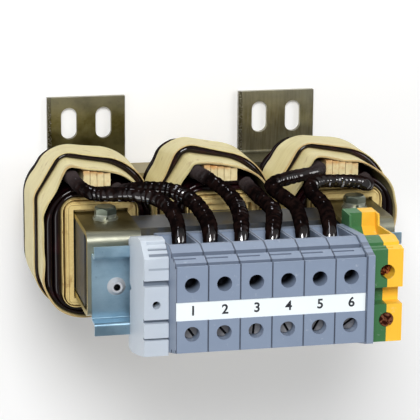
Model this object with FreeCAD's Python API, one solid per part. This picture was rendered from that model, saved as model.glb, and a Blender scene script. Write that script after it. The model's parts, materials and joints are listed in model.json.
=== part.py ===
"""Three-phase reactor: a three-leg laminated core with three coils, four slotted feet,
two folded front clamps and a mounting rail with six terminal blocks.

Millimetres. The feet stand on the plane Z = 0 and the coil axes point along +Z, towards the
terminals. X runs along the rail, and Y across the lamination stack, towards the side on which
the coil leads enter the terminals. The origin is on the mounting plane, below the middle leg.
"""
import FreeCAD
import Part

import math
import os

from FreeCAD import Vector

# Core
leg_width = 20.0
window_width = 30.5
stack_thickness = 30.0
yoke_depth = 20.0
leg_length = 71.5
air_gap = 1.0
core_standoff = 2.0
leg_count = 3

# Coil, layer by layer from the leg outwards
former_side_gap = 0.9
former_face_gap = 3.1
former_wall = 1.8
former_end_gap = 1.0
former_corner = 1.2
wrap_side = 2.7
wrap_face = 2.4
wrap_gap = 0.1
winding_corner = 16.0
wrap_corner = 6.0
inner_winding_side = 6.1
inner_winding_face = 4.2
inner_winding_front_gap = 2.5
inner_winding_rear_gap = 4.0
winding_layers = 2
wire_bevel = 0.6
paper_thickness = 0.8
paper_play = 0.1
rear_duct_height = 2.8
rear_left_round = 18.5
rear_right_round = 16.0
round_share = 0.98
duct_height = 6.6
peak_x = -11.9
peak_rise = 1.1
peak_radius = 2.5
panel_drop = 14.0
panel_radius = 6.0
right_sag = 5.0
right_round = 22.0
collar_length = 18.0
edge_bulge = 0.7
edge_peak_shift = -0.3
edge_peak_rise = 1.3
edge_panel_drop = 17.6
edge_sag = 3.6
edge_right_round = 21.0
outer_winding_front = 1.3
outer_winding_rear = 1.7
outer_winding_crescent = 3.0
outer_winding_peak = 2.0
outer_winding_lift = 1.6
outer_winding_length = 35.0
outer_paper_length = 28.0
outer_paper_thickness = 0.4
stick_width = 2.6
stick_counts = (4, 5, 5)
stick_starts = (-6.3, -8.0, -8.0)
stick_gap = 0.15
stick_play = 0.25

# Sheet metal
clamp_sheet = 2.0
clamp_width = 21.0
clamp_bend_radius = 2.6
clamp_flange = 34.0
clamp_standoff = 9.0
foot_sheet = 2.5
foot_width = 34.2
foot_inset = 7.8
foot_shift_x = 1.0
foot_reach = 30.4
foot_flange = 19.0
foot_bend_radius = 1.5
slot_width = 7.0
slot_length = 14.0
slot_pitch = 15.2
slot_edge = 4.6

# Fasteners, M5
bolt_diameter = 5.0
bolt_hole = 5.5
hex_flats = 8.0
hex_crown_height = 1.0
hex_crown_inset = 0.32
bolt_head_height = 3.2
nut_height = 4.0
washer_diameter = 10.0
washer_thickness = 0.8
spring_washer_diameter = 8.6
spring_washer_thickness = 1.0
spring_washer_split = 1.0
bolt_stickout = 2.0

# Mounting rail, 35 by 7.5
rail_width = 35.0
rail_inner_width = 27.0
rail_height = 7.5
rail_sheet = 1.0
rail_length = 121.0
rail_shift_x = 1.0
rail_centre_y = -4.25
rivet_diameter = 4.0
rivet_head_diameter = 7.2
rivet_head_height = 1.6
rivet_crown_diameter = 4.3
rivet_bore = 2.2
rivet_tail_diameter = 5.4
rivet_tail_length = 3.0
rivet_inset = 0.5
rivet_hole_play = 0.2
rivet_bore_depth = 2.0
rail_bend_radius = 0.4

# Terminal blocks
block_count = 6
block_pitch = 11.9
block_gap = 0.15
block_row_start = -36.7
block_height = 43.0
foot_rise = 4.0
front_half = 16.25
knee_half = 20.45
knee_drop = 14.6
rear_half = 17.9
ledge_depth = 1.0
ledges = ((0.36, 2.4, 1.0), (0.62, 0.8, 0.7), (0.85, 1.8, 1.0))
wire_depth = 28.0
funnel_extra = 5.5
funnel_depth = 5.0
funnel_side = 0.5
screw_hole_diameter = 5.6
screw_offset = 9.2
strip_height = 7.0
strip_thickness = 0.9
strip_recess = 0.3
strip_centre_y = -0.6
hook_depth = 3.0
hook_wall = 2.0
hook_thickness = 1.5
hook_gap = 0.15
end_plate_thickness = 2.9
end_plate_margin = 0.5

# Metal parts in the terminal blocks
cage_width = 8.6
cage_depth = 8.0
cage_wall = 1.5
cage_height = 14.6
cage_side_gap = 0.4
cage_rear_gap = 0.5
cage_head_room = 0.9
bar_width = 5.4
bar_thickness = 1.5
wire_room = 6.0
screw_diameter = 4.0
screw_head_diameter = 5.2
screw_head_height = 2.6
screw_slot_width = 0.9
screw_slot_depth = 1.1
screw_backed_out = 5.0
screw_shank_length = 12.0
screw_turns = (20, 125, 75, 130, 100, 85, 40, 120, 10, 60, 95, 35, 110, 115)

# Ground terminal
ground_width = 12.0
ground_gap = 0.2
ground_front = 17.0
ground_hump_half = 23.2
ground_hump_length = 8.5
ground_recess = 6.5
ground_recess_depth = 9.0
ground_height = 42.5
ground_play = 0.1
ground_knee_inset = 0.4
ground_knee_flat = 2.0
ground_shoulder = 1.0
ground_shoulder_step = 0.8
ground_heel = 1.5
ground_stem = 6.0
ground_ledge_depth = 0.6

# End clamp at the left of the row
end_clamp_width = 9.1
end_clamp_height = 30.0
end_clamp_top = 21.0
end_clamp_bottom = -27.6
end_clamp_brow = 16.0
end_clamp_brow_drop = 8.0
end_clamp_side_drop = 13.0
end_clamp_waist = 4.0
end_clamp_toe = 4.0
end_clamp_shin = 3.0
end_clamp_shin_height = 17.0
end_clamp_chin = 6.5
end_clamp_groove_depth = 2.0
end_clamp_grooves = ((5.5, 2.3), (-8.6, 1.5), (-15.1, 0.9))
end_clamp_screw_depth = 14.0
end_clamp_screw_length = 8.4
end_clamp_hole = 3.0
end_clamp_notch = 3.4
rib_count = 3
rib_start = 2.2
rib_pitch = 2.6
rib_gap = 1.2
rib_depth = 3.4
rib_lean = 0.9
rib_web = 2.0

# Leads
lead_diameter = 5.5
lead_core_diameter = 3.8
lead_core_length = 7.6
lead_run_in = 6.6
lead_end_gap = 0.4
lead_entry_shift = (0.9, 0.9, 0.9, 0.9, 0.8, -0.4)

# For the cutting shapes
overcut = 1.0
flat_edge = 1e-6

# Sizes and heights that follow
hex_radius = hex_flats / math.sqrt(3)
leg_pitch = leg_width + window_width
half_stack = stack_thickness / 2
z_rear_yoke = core_standoff + yoke_depth
z_leg_end = z_rear_yoke + leg_length
z_front_yoke = z_leg_end + air_gap
z_core_top = z_front_yoke + yoke_depth
z_rail_seat = z_core_top + clamp_standoff + clamp_sheet
z_rail_front = z_rail_seat + rail_height
z_block_front = z_rail_front + block_height
z_wire = z_block_front - wire_depth
leg_positions = [(i - (leg_count - 1) / 2) * leg_pitch for i in range(leg_count)]
half_core_x = leg_positions[-1] + leg_width / 2
foot_centre_x = leg_positions[-1] - foot_inset
rivet_x = leg_positions[-1] - rivet_inset

# Room for the clamp cages
entry_width = cage_width + 2 * cage_side_gap
entry_floor = screw_offset - cage_depth / 2 - cage_side_gap
cage_base = z_wire - wire_room / 2 - cage_wall
z_entry_low = cage_base - cage_rear_gap
z_entry_high = cage_base + cage_height + cage_head_room


def box(x0, x1, y0, y1, z0, z1):
    """Block between two corners."""
    return Part.makeBox(x1 - x0, y1 - y0, z1 - z0, Vector(x0, y0, z0))


def rod(radius, start, direction, length):
    """Cylinder from a point along a direction."""
    return Part.makeCylinder(radius, length, Vector(*start), Vector(*direction))


def prism_x(outline_yz, x0, x1):
    """Solid with a (Y, Z) outline, along X."""
    points = [Vector(x0, y, z) for y, z in outline_yz]
    face = Part.Face(Part.makePolygon(points + points[:1]))
    return face.extrude(Vector(x1 - x0, 0, 0))


def rounded_wire(corners, z):
    """Closed wire of straight runs and corner arcs. corners holds (x, y, radius)."""
    arcs = []
    count = len(corners)
    for i, (x, y, radius) in enumerate(corners):
        here = Vector(x, y, z)
        if not radius:
            arcs.append((here, None, here))
            continue
        before = Vector(*corners[i - 1][:2], z) - here
        after = Vector(*corners[(i + 1) % count][:2], z) - here
        before.normalize()
        after.normalize()
        half_angle = before.getAngle(after) / 2
        tangent = radius / math.tan(half_angle)
        inward = before + after
        inward.normalize()
        middle = here + inward * (radius / math.sin(half_angle) - radius)
        arcs.append((here + before * tangent, middle, here + after * tangent))
    edges = []
    for i, (start, middle, end) in enumerate(arcs):
        if middle:
            edges.append(Part.Arc(start, middle, end).toShape())
        edges.append(Part.makeLine(end, arcs[(i + 1) % count][0]))
    return Part.Wire(edges)


def grown(corners, growth):
    """Corners of the outline that lies growth outside another. Both run anticlockwise."""
    outside = []
    count = len(corners)
    for i, (x, y, radius) in enumerate(corners):
        normals = Vector()
        for start, end in ((corners[i - 1], corners[i]), (corners[i], corners[(i + 1) % count])):
            normal = Vector(end[1] - start[1], start[0] - end[0], 0)
            normal.normalize()
            normals += normal
        shift = normals * (2 * growth / normals.Length ** 2)
        outside.append((x + shift.x, y + shift.y, radius + growth))
    return outside


def tube_between(wire, length):
    """Solid of a flat wire, drawn up along Z."""
    return Part.Face(wire).extrude(Vector(0, 0, length))


def rounded_prism_x(corners_yz, x0, x1):
    """Solid along X with an outline of (y, z, radius) corners."""
    shape = tube_between(rounded_wire(corners_yz, 0.0), x1 - x0)
    shape.Placement = FreeCAD.Placement(Vector(x0, 0, 0),
                                        FreeCAD.Rotation(Vector(1, 1, 1), 120))
    return shape


def mirror_y(shape):
    """The same shape on the other side of the stack."""
    return shape.mirror(Vector(0, 0, 0), Vector(0, 1, 0))


def ring_y(outer_diameter, bore, centre, height):
    """Washer or nut body with its axis along +Y, from centre."""
    disc = rod(outer_diameter / 2, centre, (0, 1, 0), height)
    return disc.cut(rod(bore / 2, centre, (0, 1, 0), height))


def hexagon(centre, height, direction):
    """Hexagonal head or nut, with its axis along Y."""
    x, y, z = centre
    corners = []
    for i in range(6):
        angle = math.radians(60 * i + 30)
        corners.append(Vector(x + hex_radius * math.cos(angle), y,
                              z + hex_radius * math.sin(angle)))
    return Part.Face(Part.makePolygon(corners + corners[:1])).extrude(
        Vector(0, direction * height, 0))


def save(name, *shapes):
    """Write one sub-part, a solid or a group of like solids."""
    shape = shapes[0] if len(shapes) == 1 else Part.makeCompound(list(shapes))
    if not shape.isValid():
        raise ValueError(name + " is not a valid shape")
    shape.exportStep("parts/" + name + ".step")
    print(name, len(shape.Solids), round(shape.Volume))


# Core


def bolt_places():
    """(x, z, sheet) of the four bolts through the yokes."""
    outer = leg_positions[-1]
    z_rear = core_standoff + yoke_depth / 2
    z_front = z_front_yoke + yoke_depth / 2
    return [(-outer, z_rear, foot_sheet), (outer, z_rear, foot_sheet),
            (-outer, z_front, clamp_sheet), (outer, z_front, clamp_sheet)]


def bolt_bores():
    """The bolt holes, as one cutting shape."""
    length = 4 * stack_thickness
    bores = [rod(bolt_hole / 2, (x, -length / 2, z), (0, 1, 0), length)
             for x, z, _ in bolt_places()]
    return Part.makeCompound(bores)


def core_e_stack():
    """Rear yoke and three legs, one stack of E laminations."""
    shape = box(-half_core_x, half_core_x, -half_stack, half_stack, core_standoff, z_rear_yoke)
    for x in leg_positions:
        leg = box(x - leg_width / 2, x + leg_width / 2, -half_stack, half_stack,
                  core_standoff, z_leg_end)
        shape = shape.fuse(leg)
    return shape.removeSplitter().cut(bolt_bores())


def core_front_yoke():
    """Front yoke, one stack of I laminations."""
    bar = box(-half_core_x, half_core_x, -half_stack, half_stack, z_front_yoke, z_core_top)
    return bar.cut(bolt_bores())


def air_gap_spacers():
    """Hard spacer plates between the leg ends and the front yoke."""
    return [box(x - leg_width / 2, x + leg_width / 2, -half_stack, half_stack,
                z_leg_end, z_front_yoke) for x in leg_positions]


# Coils. Sizes are half widths (x), top and bottom (y) from the middle of a leg.


def coil_layers():
    """Half width, top and bottom of each layer's outside."""
    former_in = (leg_width / 2 + former_side_gap, half_stack + former_face_gap)
    former_out = (former_in[0] + former_wall, former_in[1] + former_wall)
    wrap_in = (former_out[0] + wrap_gap, former_out[1] + wrap_gap)
    wrap_out = (wrap_in[0] + wrap_side - wrap_gap, wrap_in[1] + wrap_face - wrap_gap)
    wind_out = (wrap_out[0] + inner_winding_side, wrap_out[1] + inner_winding_face)
    return former_in, former_out, wrap_in, wrap_out, wind_out


former_in, former_out, wrap_in, wrap_out, wind_out = coil_layers()
z_former_0 = z_rear_yoke + former_end_gap
z_former_1 = z_leg_end
z_wind_0 = z_rear_yoke + inner_winding_rear_gap
z_wind_1 = z_former_1 - inner_winding_front_gap
z_collar = z_wind_1 - collar_length
paper_in_half = wind_out[0] + paper_play
paper_in_top = wind_out[1] + duct_height
paper_in_bottom = wind_out[1] + paper_play


def frame_tube(x, half_size, radius, z0, z1):
    """Solid round the leg at x, its half width and half height given, with round corners."""
    half, high = half_size
    corners = [(x - half, -high, radius), (x + half, -high, radius), (x + half, high, radius),
               (x - half, high, radius)]
    return tube_between(rounded_wire(corners, z0), z1 - z0)


def coil_former(x):
    """Pressboard tube round a leg."""
    outer = frame_tube(x, former_out, former_corner, z_former_0, z_former_1)
    inner = box(x - former_in[0], x + former_in[0], -former_in[1], former_in[1],
                z_former_0, z_former_1)
    return outer.cut(inner)


def leg_wedges(x):
    """Two strips between a leg and its former, above and below the lamination stack."""
    half = leg_width / 2
    z_end = z_rail_seat - clamp_flange
    thickness = former_face_gap
    return [box(x - half, x + half, side * half_stack + min(0, side * thickness),
                side * half_stack + max(0, side * thickness), z_former_0, z_end)
            for side in (-1, 1)]


def leg_wrap(x):
    """Wound paper between the former and the inner winding."""
    outer = frame_tube(x, wrap_out, wrap_corner, z_former_0, z_former_1)
    return outer.cut(frame_tube(x, wrap_in, former_corner + wrap_gap, z_former_0, z_former_1))


def inner_winding(x):
    """Two wire layers, each with a bevelled crown at both ends of the coil."""
    bodies = []
    for layer in range(winding_layers + 1):
        share = layer / winding_layers
        size = (wrap_out[0] + share * inner_winding_side, wrap_out[1] + share * inner_winding_face)
        radius = wrap_corner + share * (winding_corner - wrap_corner)
        bodies.append(frame_tube(x, size, radius, z_wind_0, z_wind_1))
    rings = []
    for inner, outer in zip(bodies, bodies[1:]):
        ring = outer.cut(inner)
        ends = [edge for edge in ring.Edges if edge.BoundBox.ZLength < flat_edge]
        rings.append(ring.makeChamfer(wire_bevel, ends))
    return rings[0].fuse(rings[1:]).removeSplitter()


def rear_corners(x):
    """Inside of the inner paper at the coil's rear. Its upper left is one large round."""
    half = paper_in_half
    top = wind_out[1] + rear_duct_height
    bottom = paper_in_bottom
    side = rear_left_round * (2 - math.sqrt(2))
    turn = rear_left_round * round_share
    return [(x - half, -bottom, winding_corner), (x + half, -bottom, winding_corner),
            (x + half, top, rear_right_round), (x - half + side, top, turn),
            (x - half, top - side, turn)]


def root_corners(x):
    """Inside of the inner paper where the outer winding starts, with a peak at its left."""
    half = paper_in_half
    top = paper_in_top
    bottom = paper_in_bottom
    return [(x - half, -bottom, winding_corner), (x + half, -bottom, winding_corner),
            (x + half, top - right_sag, right_round), (x + peak_x, top + peak_rise, peak_radius),
            (x - half, top - panel_drop, panel_radius)]


def edge_corners(x):
    """Inside of the inner paper at its front edge, over the lead at the upper left."""
    half = paper_in_half
    top = paper_in_top
    bottom = paper_in_bottom
    return [(x - half - edge_bulge, -bottom, winding_corner),
            (x + half, -bottom, winding_corner), (x + half, top - edge_sag, edge_right_round),
            (x + peak_x + edge_peak_shift, top + edge_peak_rise, peak_radius),
            (x - half - edge_bulge, top - edge_panel_drop, panel_radius)]


def coil_body(rear, root):
    """Solid between an outline at the coil's rear and one at the root of the collar."""
    return Part.makeLoft([rounded_wire(rear, z_wind_0), rounded_wire(root, z_collar)],
                         True, True)


def paper_body(x, growth):
    """The inner paper's inside behind its collar, grown outwards."""
    return coil_body(grown(rear_corners(x), growth), grown(root_corners(x), growth))


def winding_body(x, growth):
    """The outer winding filled in, grown outwards. It is thicker at the upper right."""
    rear = grown(rear_corners(x), paper_thickness + outer_winding_rear)
    root = grown(root_corners(x), paper_thickness + outer_winding_front)
    lifts = (0.0, 0.0, outer_winding_lift, 0.0, 0.0)
    rounder = (0.0, 0.0, -outer_winding_crescent, outer_winding_peak, 0.0)
    root = [(corner_x, y + lift, radius + extra)
            for (corner_x, y, radius), lift, extra in zip(root, lifts, rounder)]
    return coil_body(grown(rear, growth), grown(root, growth))


def inner_paper(x):
    """Paper round the inner winding and the duct sticks, flared at its front."""
    walls = []
    for growth in (paper_thickness, 0.0):
        collar = Part.makeLoft([rounded_wire(grown(root_corners(x), growth), z_collar),
                                rounded_wire(grown(edge_corners(x), growth), z_wind_1)],
                               True, True)
        walls.append(paper_body(x, growth).fuse(collar))
    return walls[0].cut(walls[1])


def behind_collar(body, length):
    """The front part of a coil body, as long as stated."""
    reach = leg_pitch
    centre = body.BoundBox.Center.x
    return body.common(box(centre - reach, centre + reach, -reach, reach,
                           z_collar - length, z_collar))


def outer_winding(x):
    """Outer winding, round the inner paper."""
    ring = winding_body(x, 0.0).cut(paper_body(x, paper_thickness))
    return behind_collar(ring, outer_winding_length)


def outer_paper(x):
    """Paper band round the front of the outer winding."""
    ring = winding_body(x, outer_paper_thickness).cut(winding_body(x, 0.0))
    return behind_collar(ring, outer_paper_length)


def height_inside(corners, x):
    """Height of an outline's upper side above y = 0, at x."""
    line = Part.makeLine(Vector(x, 0, 0), Vector(x, leg_pitch, 0))
    return line.common(Part.Face(rounded_wire(corners, 0.0))).Length


def packing_sticks(number):
    """Duct sticks side by side on top of the inner winding, cut to the paper's height."""
    x = leg_positions[number - 1]
    low = wind_out[1]
    sticks = []
    for i in range(stick_counts[number - 1]):
        x0 = x + stick_starts[number - 1] + i * (stick_width + stick_gap)
        x1 = x0 + stick_width
        heights = [min(height_inside(corners, x0), height_inside(corners, x1)) - stick_play
                   for corners in (rear_corners(x), root_corners(x), edge_corners(x))]
        outline = [(low, z_wind_0), (heights[0], z_wind_0), (heights[1], z_collar),
                   (heights[2], z_wind_1), (low, z_wind_1)]
        sticks.append(prism_x(outline, x0, x1))
    return sticks


# Sheet metal


def front_clamp(x):
    """Folded channel over the front yoke. Its web carries the rail."""
    outer_y = half_stack + clamp_sheet
    z_end = z_rail_seat - clamp_flange
    z_inside = z_rail_seat - clamp_sheet
    outer_radius = clamp_bend_radius + clamp_sheet
    x0 = x - clamp_width / 2
    x1 = x + clamp_width / 2
    outer = rounded_prism_x([(-outer_y, z_end, 0), (outer_y, z_end, 0),
                             (outer_y, z_rail_seat, outer_radius),
                             (-outer_y, z_rail_seat, outer_radius)], x0, x1)
    inner = rounded_prism_x([(-half_stack, z_end, 0), (half_stack, z_end, 0),
                             (half_stack, z_inside, clamp_bend_radius),
                             (-half_stack, z_inside, clamp_bend_radius)], x0, x1)
    return outer.cut(inner).cut(bolt_bores()).cut(rivet_bores())


def foot(x):
    """Upper foot: an angle bracket on the rear yoke, with two slots."""
    reach_y = half_stack + foot_reach
    inner_y = half_stack + foot_sheet
    z_end = core_standoff + foot_flange
    shape = rounded_prism_x([(half_stack, z_end, 0),
                             (half_stack, 0.0, foot_bend_radius + foot_sheet),
                             (reach_y, 0.0, 0), (reach_y, foot_sheet, 0),
                             (inner_y, foot_sheet, foot_bend_radius), (inner_y, z_end, 0)],
                            x - foot_width / 2, x + foot_width / 2)
    straight = slot_length - slot_width
    y0 = reach_y - slot_edge - slot_width / 2 - straight
    for slot_x in (x - slot_pitch / 2, x + slot_pitch / 2):
        for y in (y0, y0 + straight):
            shape = shape.cut(rod(slot_width / 2, (slot_x, y, 0), (0, 0, 1), foot_sheet))
        shape = shape.cut(box(slot_x - slot_width / 2, slot_x + slot_width / 2,
                              y0, y0 + straight, 0, foot_sheet))
    return shape.cut(bolt_bores())


# Fasteners


def hex_bolt(x, z, sheet):
    """Hexagon bolt from the upper side down through the core."""
    y_seat = half_stack + sheet + washer_thickness + spring_washer_thickness
    y_end = -half_stack - sheet - washer_thickness - nut_height - bolt_stickout
    head = hexagon((x, y_seat, z), bolt_head_height, 1)
    straight = bolt_head_height - hex_crown_height
    crown = Part.makeCone(hex_radius, hex_flats / 2 - hex_crown_inset,
                          hex_crown_height, Vector(x, y_seat + straight, z), Vector(0, 1, 0))
    lower = rod(hex_flats, (x, y_seat, z), (0, 1, 0), straight)
    head = head.common(crown.fuse(lower))
    shank = rod(bolt_diameter / 2, (x, y_end, z), (0, 1, 0), y_seat - y_end)
    return head.fuse(shank).removeSplitter()


def hex_nut(x, z, sheet):
    """Nut on the lower end of a bolt."""
    y_seat = -half_stack - sheet - washer_thickness
    body = hexagon((x, y_seat, z), nut_height, -1)
    return body.cut(rod(bolt_diameter / 2, (x, y_seat, z), (0, -1, 0), nut_height))


def plain_washers(x, z, sheet):
    """Flat washers under the head and under the nut."""
    y_seat = half_stack + sheet
    return [ring_y(washer_diameter, bolt_hole, (x, y, z), washer_thickness)
            for y in (y_seat, -y_seat - washer_thickness)]


def spring_washer(x, z, sheet):
    """Split spring washer under the bolt head."""
    y = half_stack + sheet + washer_thickness
    ring = ring_y(spring_washer_diameter, bolt_hole, (x, y, z), spring_washer_thickness)
    half = spring_washer_split / 2
    return ring.cut(box(x - half, x + half, y, y + spring_washer_thickness,
                        z, z + spring_washer_diameter))


def rivet_bores():
    """Rivet holes through the rail and the clamps."""
    radius = (rivet_diameter + rivet_hole_play) / 2
    return Part.makeCompound([
        rod(radius, (x, rail_centre_y, z_rail_seat - 2 * clamp_sheet), (0, 0, 1),
            2 * clamp_sheet + 2 * rail_sheet) for x in (-rivet_x, rivet_x)])


def blind_rivet(x):
    """Blind rivet that holds the rail on a clamp."""
    z_head = z_rail_seat + rail_sheet
    z_grip = z_rail_seat - clamp_sheet
    head = Part.makeCone(rivet_head_diameter / 2, rivet_crown_diameter / 2, rivet_head_height,
                         Vector(x, rail_centre_y, z_head), Vector(0, 0, 1))
    shank = rod(rivet_diameter / 2, (x, rail_centre_y, z_grip), (0, 0, 1), z_head - z_grip)
    tail = rod(rivet_tail_diameter / 2, (x, rail_centre_y, z_grip), (0, 0, -1),
               rivet_tail_length)
    bore = rod(rivet_bore / 2, (x, rail_centre_y, z_head - rivet_bore_depth), (0, 0, 1),
               rivet_bore_depth + rivet_head_height)
    return head.fuse(shank).fuse(tail).removeSplitter().cut(bore)


def din_rail():
    """Top-hat rail, its web on the clamps and its lips to the front."""
    lip = rail_width / 2
    wall = rail_inner_width / 2
    inside = wall - rail_sheet
    z_web = z_rail_seat + rail_sheet
    z_lip = z_rail_front - rail_sheet
    tight = rail_bend_radius
    wide = rail_bend_radius + rail_sheet
    half = [(inside, z_web, tight), (inside, z_rail_front, wide), (lip, z_rail_front, 0),
            (lip, z_lip, 0), (wall, z_lip, tight), (wall, z_rail_seat, wide)]
    corners = [(rail_centre_y + y, z, r) for y, z, r in half]
    corners += [(rail_centre_y - y, z, r) for y, z, r in reversed(half)]
    x0 = rail_shift_x - rail_length / 2
    return rounded_prism_x(corners, x0, x0 + rail_length).cut(rivet_bores())


# Terminal blocks


def block_x(number):
    """Left face of a block, counted from 1 at the end clamp."""
    return block_row_start + (number - 1) * block_pitch


def rear_outline():
    """Rear of a block: a hook behind each rail lip. Runs from upper to lower side."""
    z_seat = z_rail_front
    z_claw = z_rail_front - rail_sheet - hook_gap
    z_back = z_claw - hook_thickness
    upper = rail_centre_y + rail_width / 2 + hook_gap
    lower = rail_centre_y - rail_width / 2 - hook_gap
    return [(upper + hook_wall, z_seat), (upper + hook_wall, z_back),
            (upper - hook_depth, z_back), (upper - hook_depth, z_claw), (upper, z_claw),
            (upper, z_seat), (lower, z_seat), (lower, z_claw), (lower + hook_depth, z_claw),
            (lower + hook_depth, z_back), (lower - hook_wall, z_back),
            (lower - hook_wall, z_seat + foot_rise),
            (lower + hook_depth, z_seat + 2 * foot_rise)]


def block_outline(margin):
    """Side view of a block, from the front over the upper knee, the hooks and back."""
    z_knee = z_block_front - knee_drop
    front = front_half + margin
    knee = knee_half + margin
    return ([(front, z_block_front + margin), (knee, z_knee), (rear_half, z_rail_front)]
            + rear_outline() + [(-knee, z_knee), (-front, z_block_front + margin)])


def funnel(x, outline):
    """The wire entry's wider mouth, beside the cage's outer end."""
    half = entry_width / 2 + funnel_side
    clear = screw_offset + cage_depth / 2 + cage_side_gap
    body = prism_x(outline, x - half, x + half)
    return body.common(box(x - half, x + half, clear, clear + 2 * knee_half,
                           z_entry_low - 2 * funnel_extra, z_entry_high))


def block_ledges(x0, width, z_knee, knee, front, depth):
    """Grooves across the bevel between knee and front, as cutting shapes for both sides."""
    cuts = []
    for share, length, reach in ledges:
        z = z_knee + share * knee_drop
        floor = knee - (knee - front) * (share + length / knee_drop) - depth
        groove = box(x0, x0 + reach * width, floor, knee + overcut, z, z + length)
        cuts += [groove, mirror_y(groove)]
    return cuts


def block_cavities(x):
    """Everything cut out of a block for its metal parts, wires and tools."""
    half = entry_width / 2
    z_mouth = z_entry_low - funnel_extra
    outside = knee_half + funnel_depth
    outline = [(entry_floor, z_entry_low), (rear_half - funnel_depth, z_entry_low),
               (rear_half, z_mouth), (outside, z_mouth),
               (outside, z_entry_high), (entry_floor, z_entry_high)]
    cuts = []
    for side in (prism_x(outline, x - half, x + half), funnel(x, outline)):
        cuts += [side, mirror_y(side)]
    z_bar = z_wire + wire_room / 2
    cuts.append(box(x - bar_width / 2, x + bar_width / 2, -entry_floor, entry_floor,
                    z_bar, z_bar + bar_thickness))
    for y in (screw_offset, -screw_offset):
        cuts.append(rod(screw_hole_diameter / 2, (x, y, z_entry_high - overcut), (0, 0, 1),
                        z_block_front - z_entry_high + 2 * overcut))
    return cuts


def terminal_housing(number):
    """Moulded housing of one block."""
    x0 = block_x(number)
    x1 = x0 + block_pitch - block_gap
    shape = prism_x(block_outline(0.0), x0, x1)
    centre = x0 + block_pitch / 2
    for cut in block_cavities(centre):
        shape = shape.cut(cut)
    for cut in block_ledges(x0, x1 - x0, z_block_front - knee_drop, knee_half, front_half,
                            ledge_depth):
        shape = shape.cut(cut)
    strip_seat = box(x0, x1, strip_centre_y - strip_height / 2,
                     strip_centre_y + strip_height / 2,
                     z_block_front - strip_thickness - strip_recess, z_block_front)
    return shape.cut(strip_seat)


def end_plate():
    """Closing plate at the right of the row."""
    x0 = block_x(block_count + 1)
    return prism_x(block_outline(end_plate_margin), x0, x0 + end_plate_thickness)


def marker_strip():
    """One strip along all blocks, carrying their plain numbers."""
    z_top = z_block_front - strip_recess
    return box(block_row_start + block_gap, block_x(block_count + 1) - 2 * block_gap,
               strip_centre_y - strip_height / 2, strip_centre_y + strip_height / 2,
               z_top - strip_thickness, z_top)


def clamp_cage(x, y):
    """Box clamp that pulls a wire against the current bar."""
    half = cage_width / 2
    z0 = cage_base
    z1 = z0 + cage_height
    body = box(x - half, x + half, y - cage_depth / 2, y + cage_depth / 2, z0, z1)
    room = box(x - half + cage_wall, x + half - cage_wall, y - cage_depth, y + cage_depth,
               z0 + cage_wall, z1 - cage_wall)
    thread = rod(screw_diameter / 2, (x, y, z1 - 2 * cage_wall), (0, 0, 1), 4 * cage_wall)
    return body.cut(room).cut(thread)


def clamp_screw(x, y, lift, turn):
    """Slotted clamp screw. lift backs it out, turn is its slot's angle in degrees."""
    z_tip = z_wire + wire_room / 2 + bar_thickness + lift
    z_head = z_tip + screw_shank_length
    shank = rod(screw_diameter / 2, (x, y, z_tip), (0, 0, 1), screw_shank_length)
    head = rod(screw_head_diameter / 2, (x, y, z_head), (0, 0, 1), screw_head_height)
    z_top = z_head + screw_head_height
    slot = box(-screw_head_diameter, screw_head_diameter, -screw_slot_width / 2,
               screw_slot_width / 2, z_top - screw_slot_depth, z_top)
    slot.rotate(Vector(0, 0, 0), Vector(0, 0, 1), turn)
    slot.translate(Vector(x, y, 0))
    return shank.fuse(head).removeSplitter().cut(slot)


def current_bar(x):
    """Copper bar through a block, under both clamps."""
    z0 = z_wire + wire_room / 2
    reach = screw_offset + cage_depth / 2
    return box(x - bar_width / 2, x + bar_width / 2, -reach, reach, z0, z0 + bar_thickness)


# Ground terminal, end clamp


def ground_x():
    """Left face of the ground terminal."""
    return block_x(block_count + 1) + end_plate_thickness + ground_gap


def ground_halves():
    """Green and yellow half of the ground terminal's housing."""
    x0 = ground_x()
    centre = x0 + ground_width / 2
    z_front = z_rail_front + ground_height
    z_shoulder = z_rail_front + ground_hump_length
    z_step = z_front - knee_drop
    z_claw = z_rail_front - rail_sheet - hook_gap
    z_back = z_claw - hook_thickness
    upper = rail_centre_y + rail_width / 2 + hook_gap
    lower = rail_centre_y - rail_width / 2 - hook_gap
    hump = ground_hump_half
    heel = hump + ground_heel
    knee = knee_half - ground_knee_inset
    shoulder = rear_half + ground_shoulder
    z_hump = z_shoulder - ground_shoulder_step
    outline = [(ground_front, z_front), (knee, z_step), (knee, z_step - ground_knee_flat),
               (shoulder, z_shoulder), (hump, z_hump), (hump, z_back),
               (upper - hook_depth, z_back), (upper - hook_depth, z_claw), (upper, z_claw),
               (upper, z_rail_front), (lower, z_rail_front), (lower, z_claw),
               (lower + hook_depth, z_claw), (lower + hook_depth, z_back),
               (-heel, z_back), (-heel, z_hump), (-shoulder, z_shoulder),
               (-knee, z_step - ground_knee_flat), (-knee, z_step), (-ground_front, z_front)]
    shape = prism_x(outline, x0, x0 + ground_width)
    for cut in block_cavities(centre):
        shape = shape.cut(cut)
    shape = shape.cut(box(x0, x0 + ground_width, -ground_recess / 2, ground_recess / 2,
                          z_front - ground_recess_depth, z_front))
    shape = shape.cut(ground_foot(ground_play))
    for cut in block_ledges(x0, ground_width, z_step, knee, ground_front, ground_ledge_depth):
        shape = shape.cut(cut)
    tall = 4 * block_height
    left = shape.common(box(x0, centre, -tall, tall, 0, tall))
    right = shape.common(box(centre, x0 + ground_width, -tall, tall, 0, tall))
    return left, right


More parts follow.
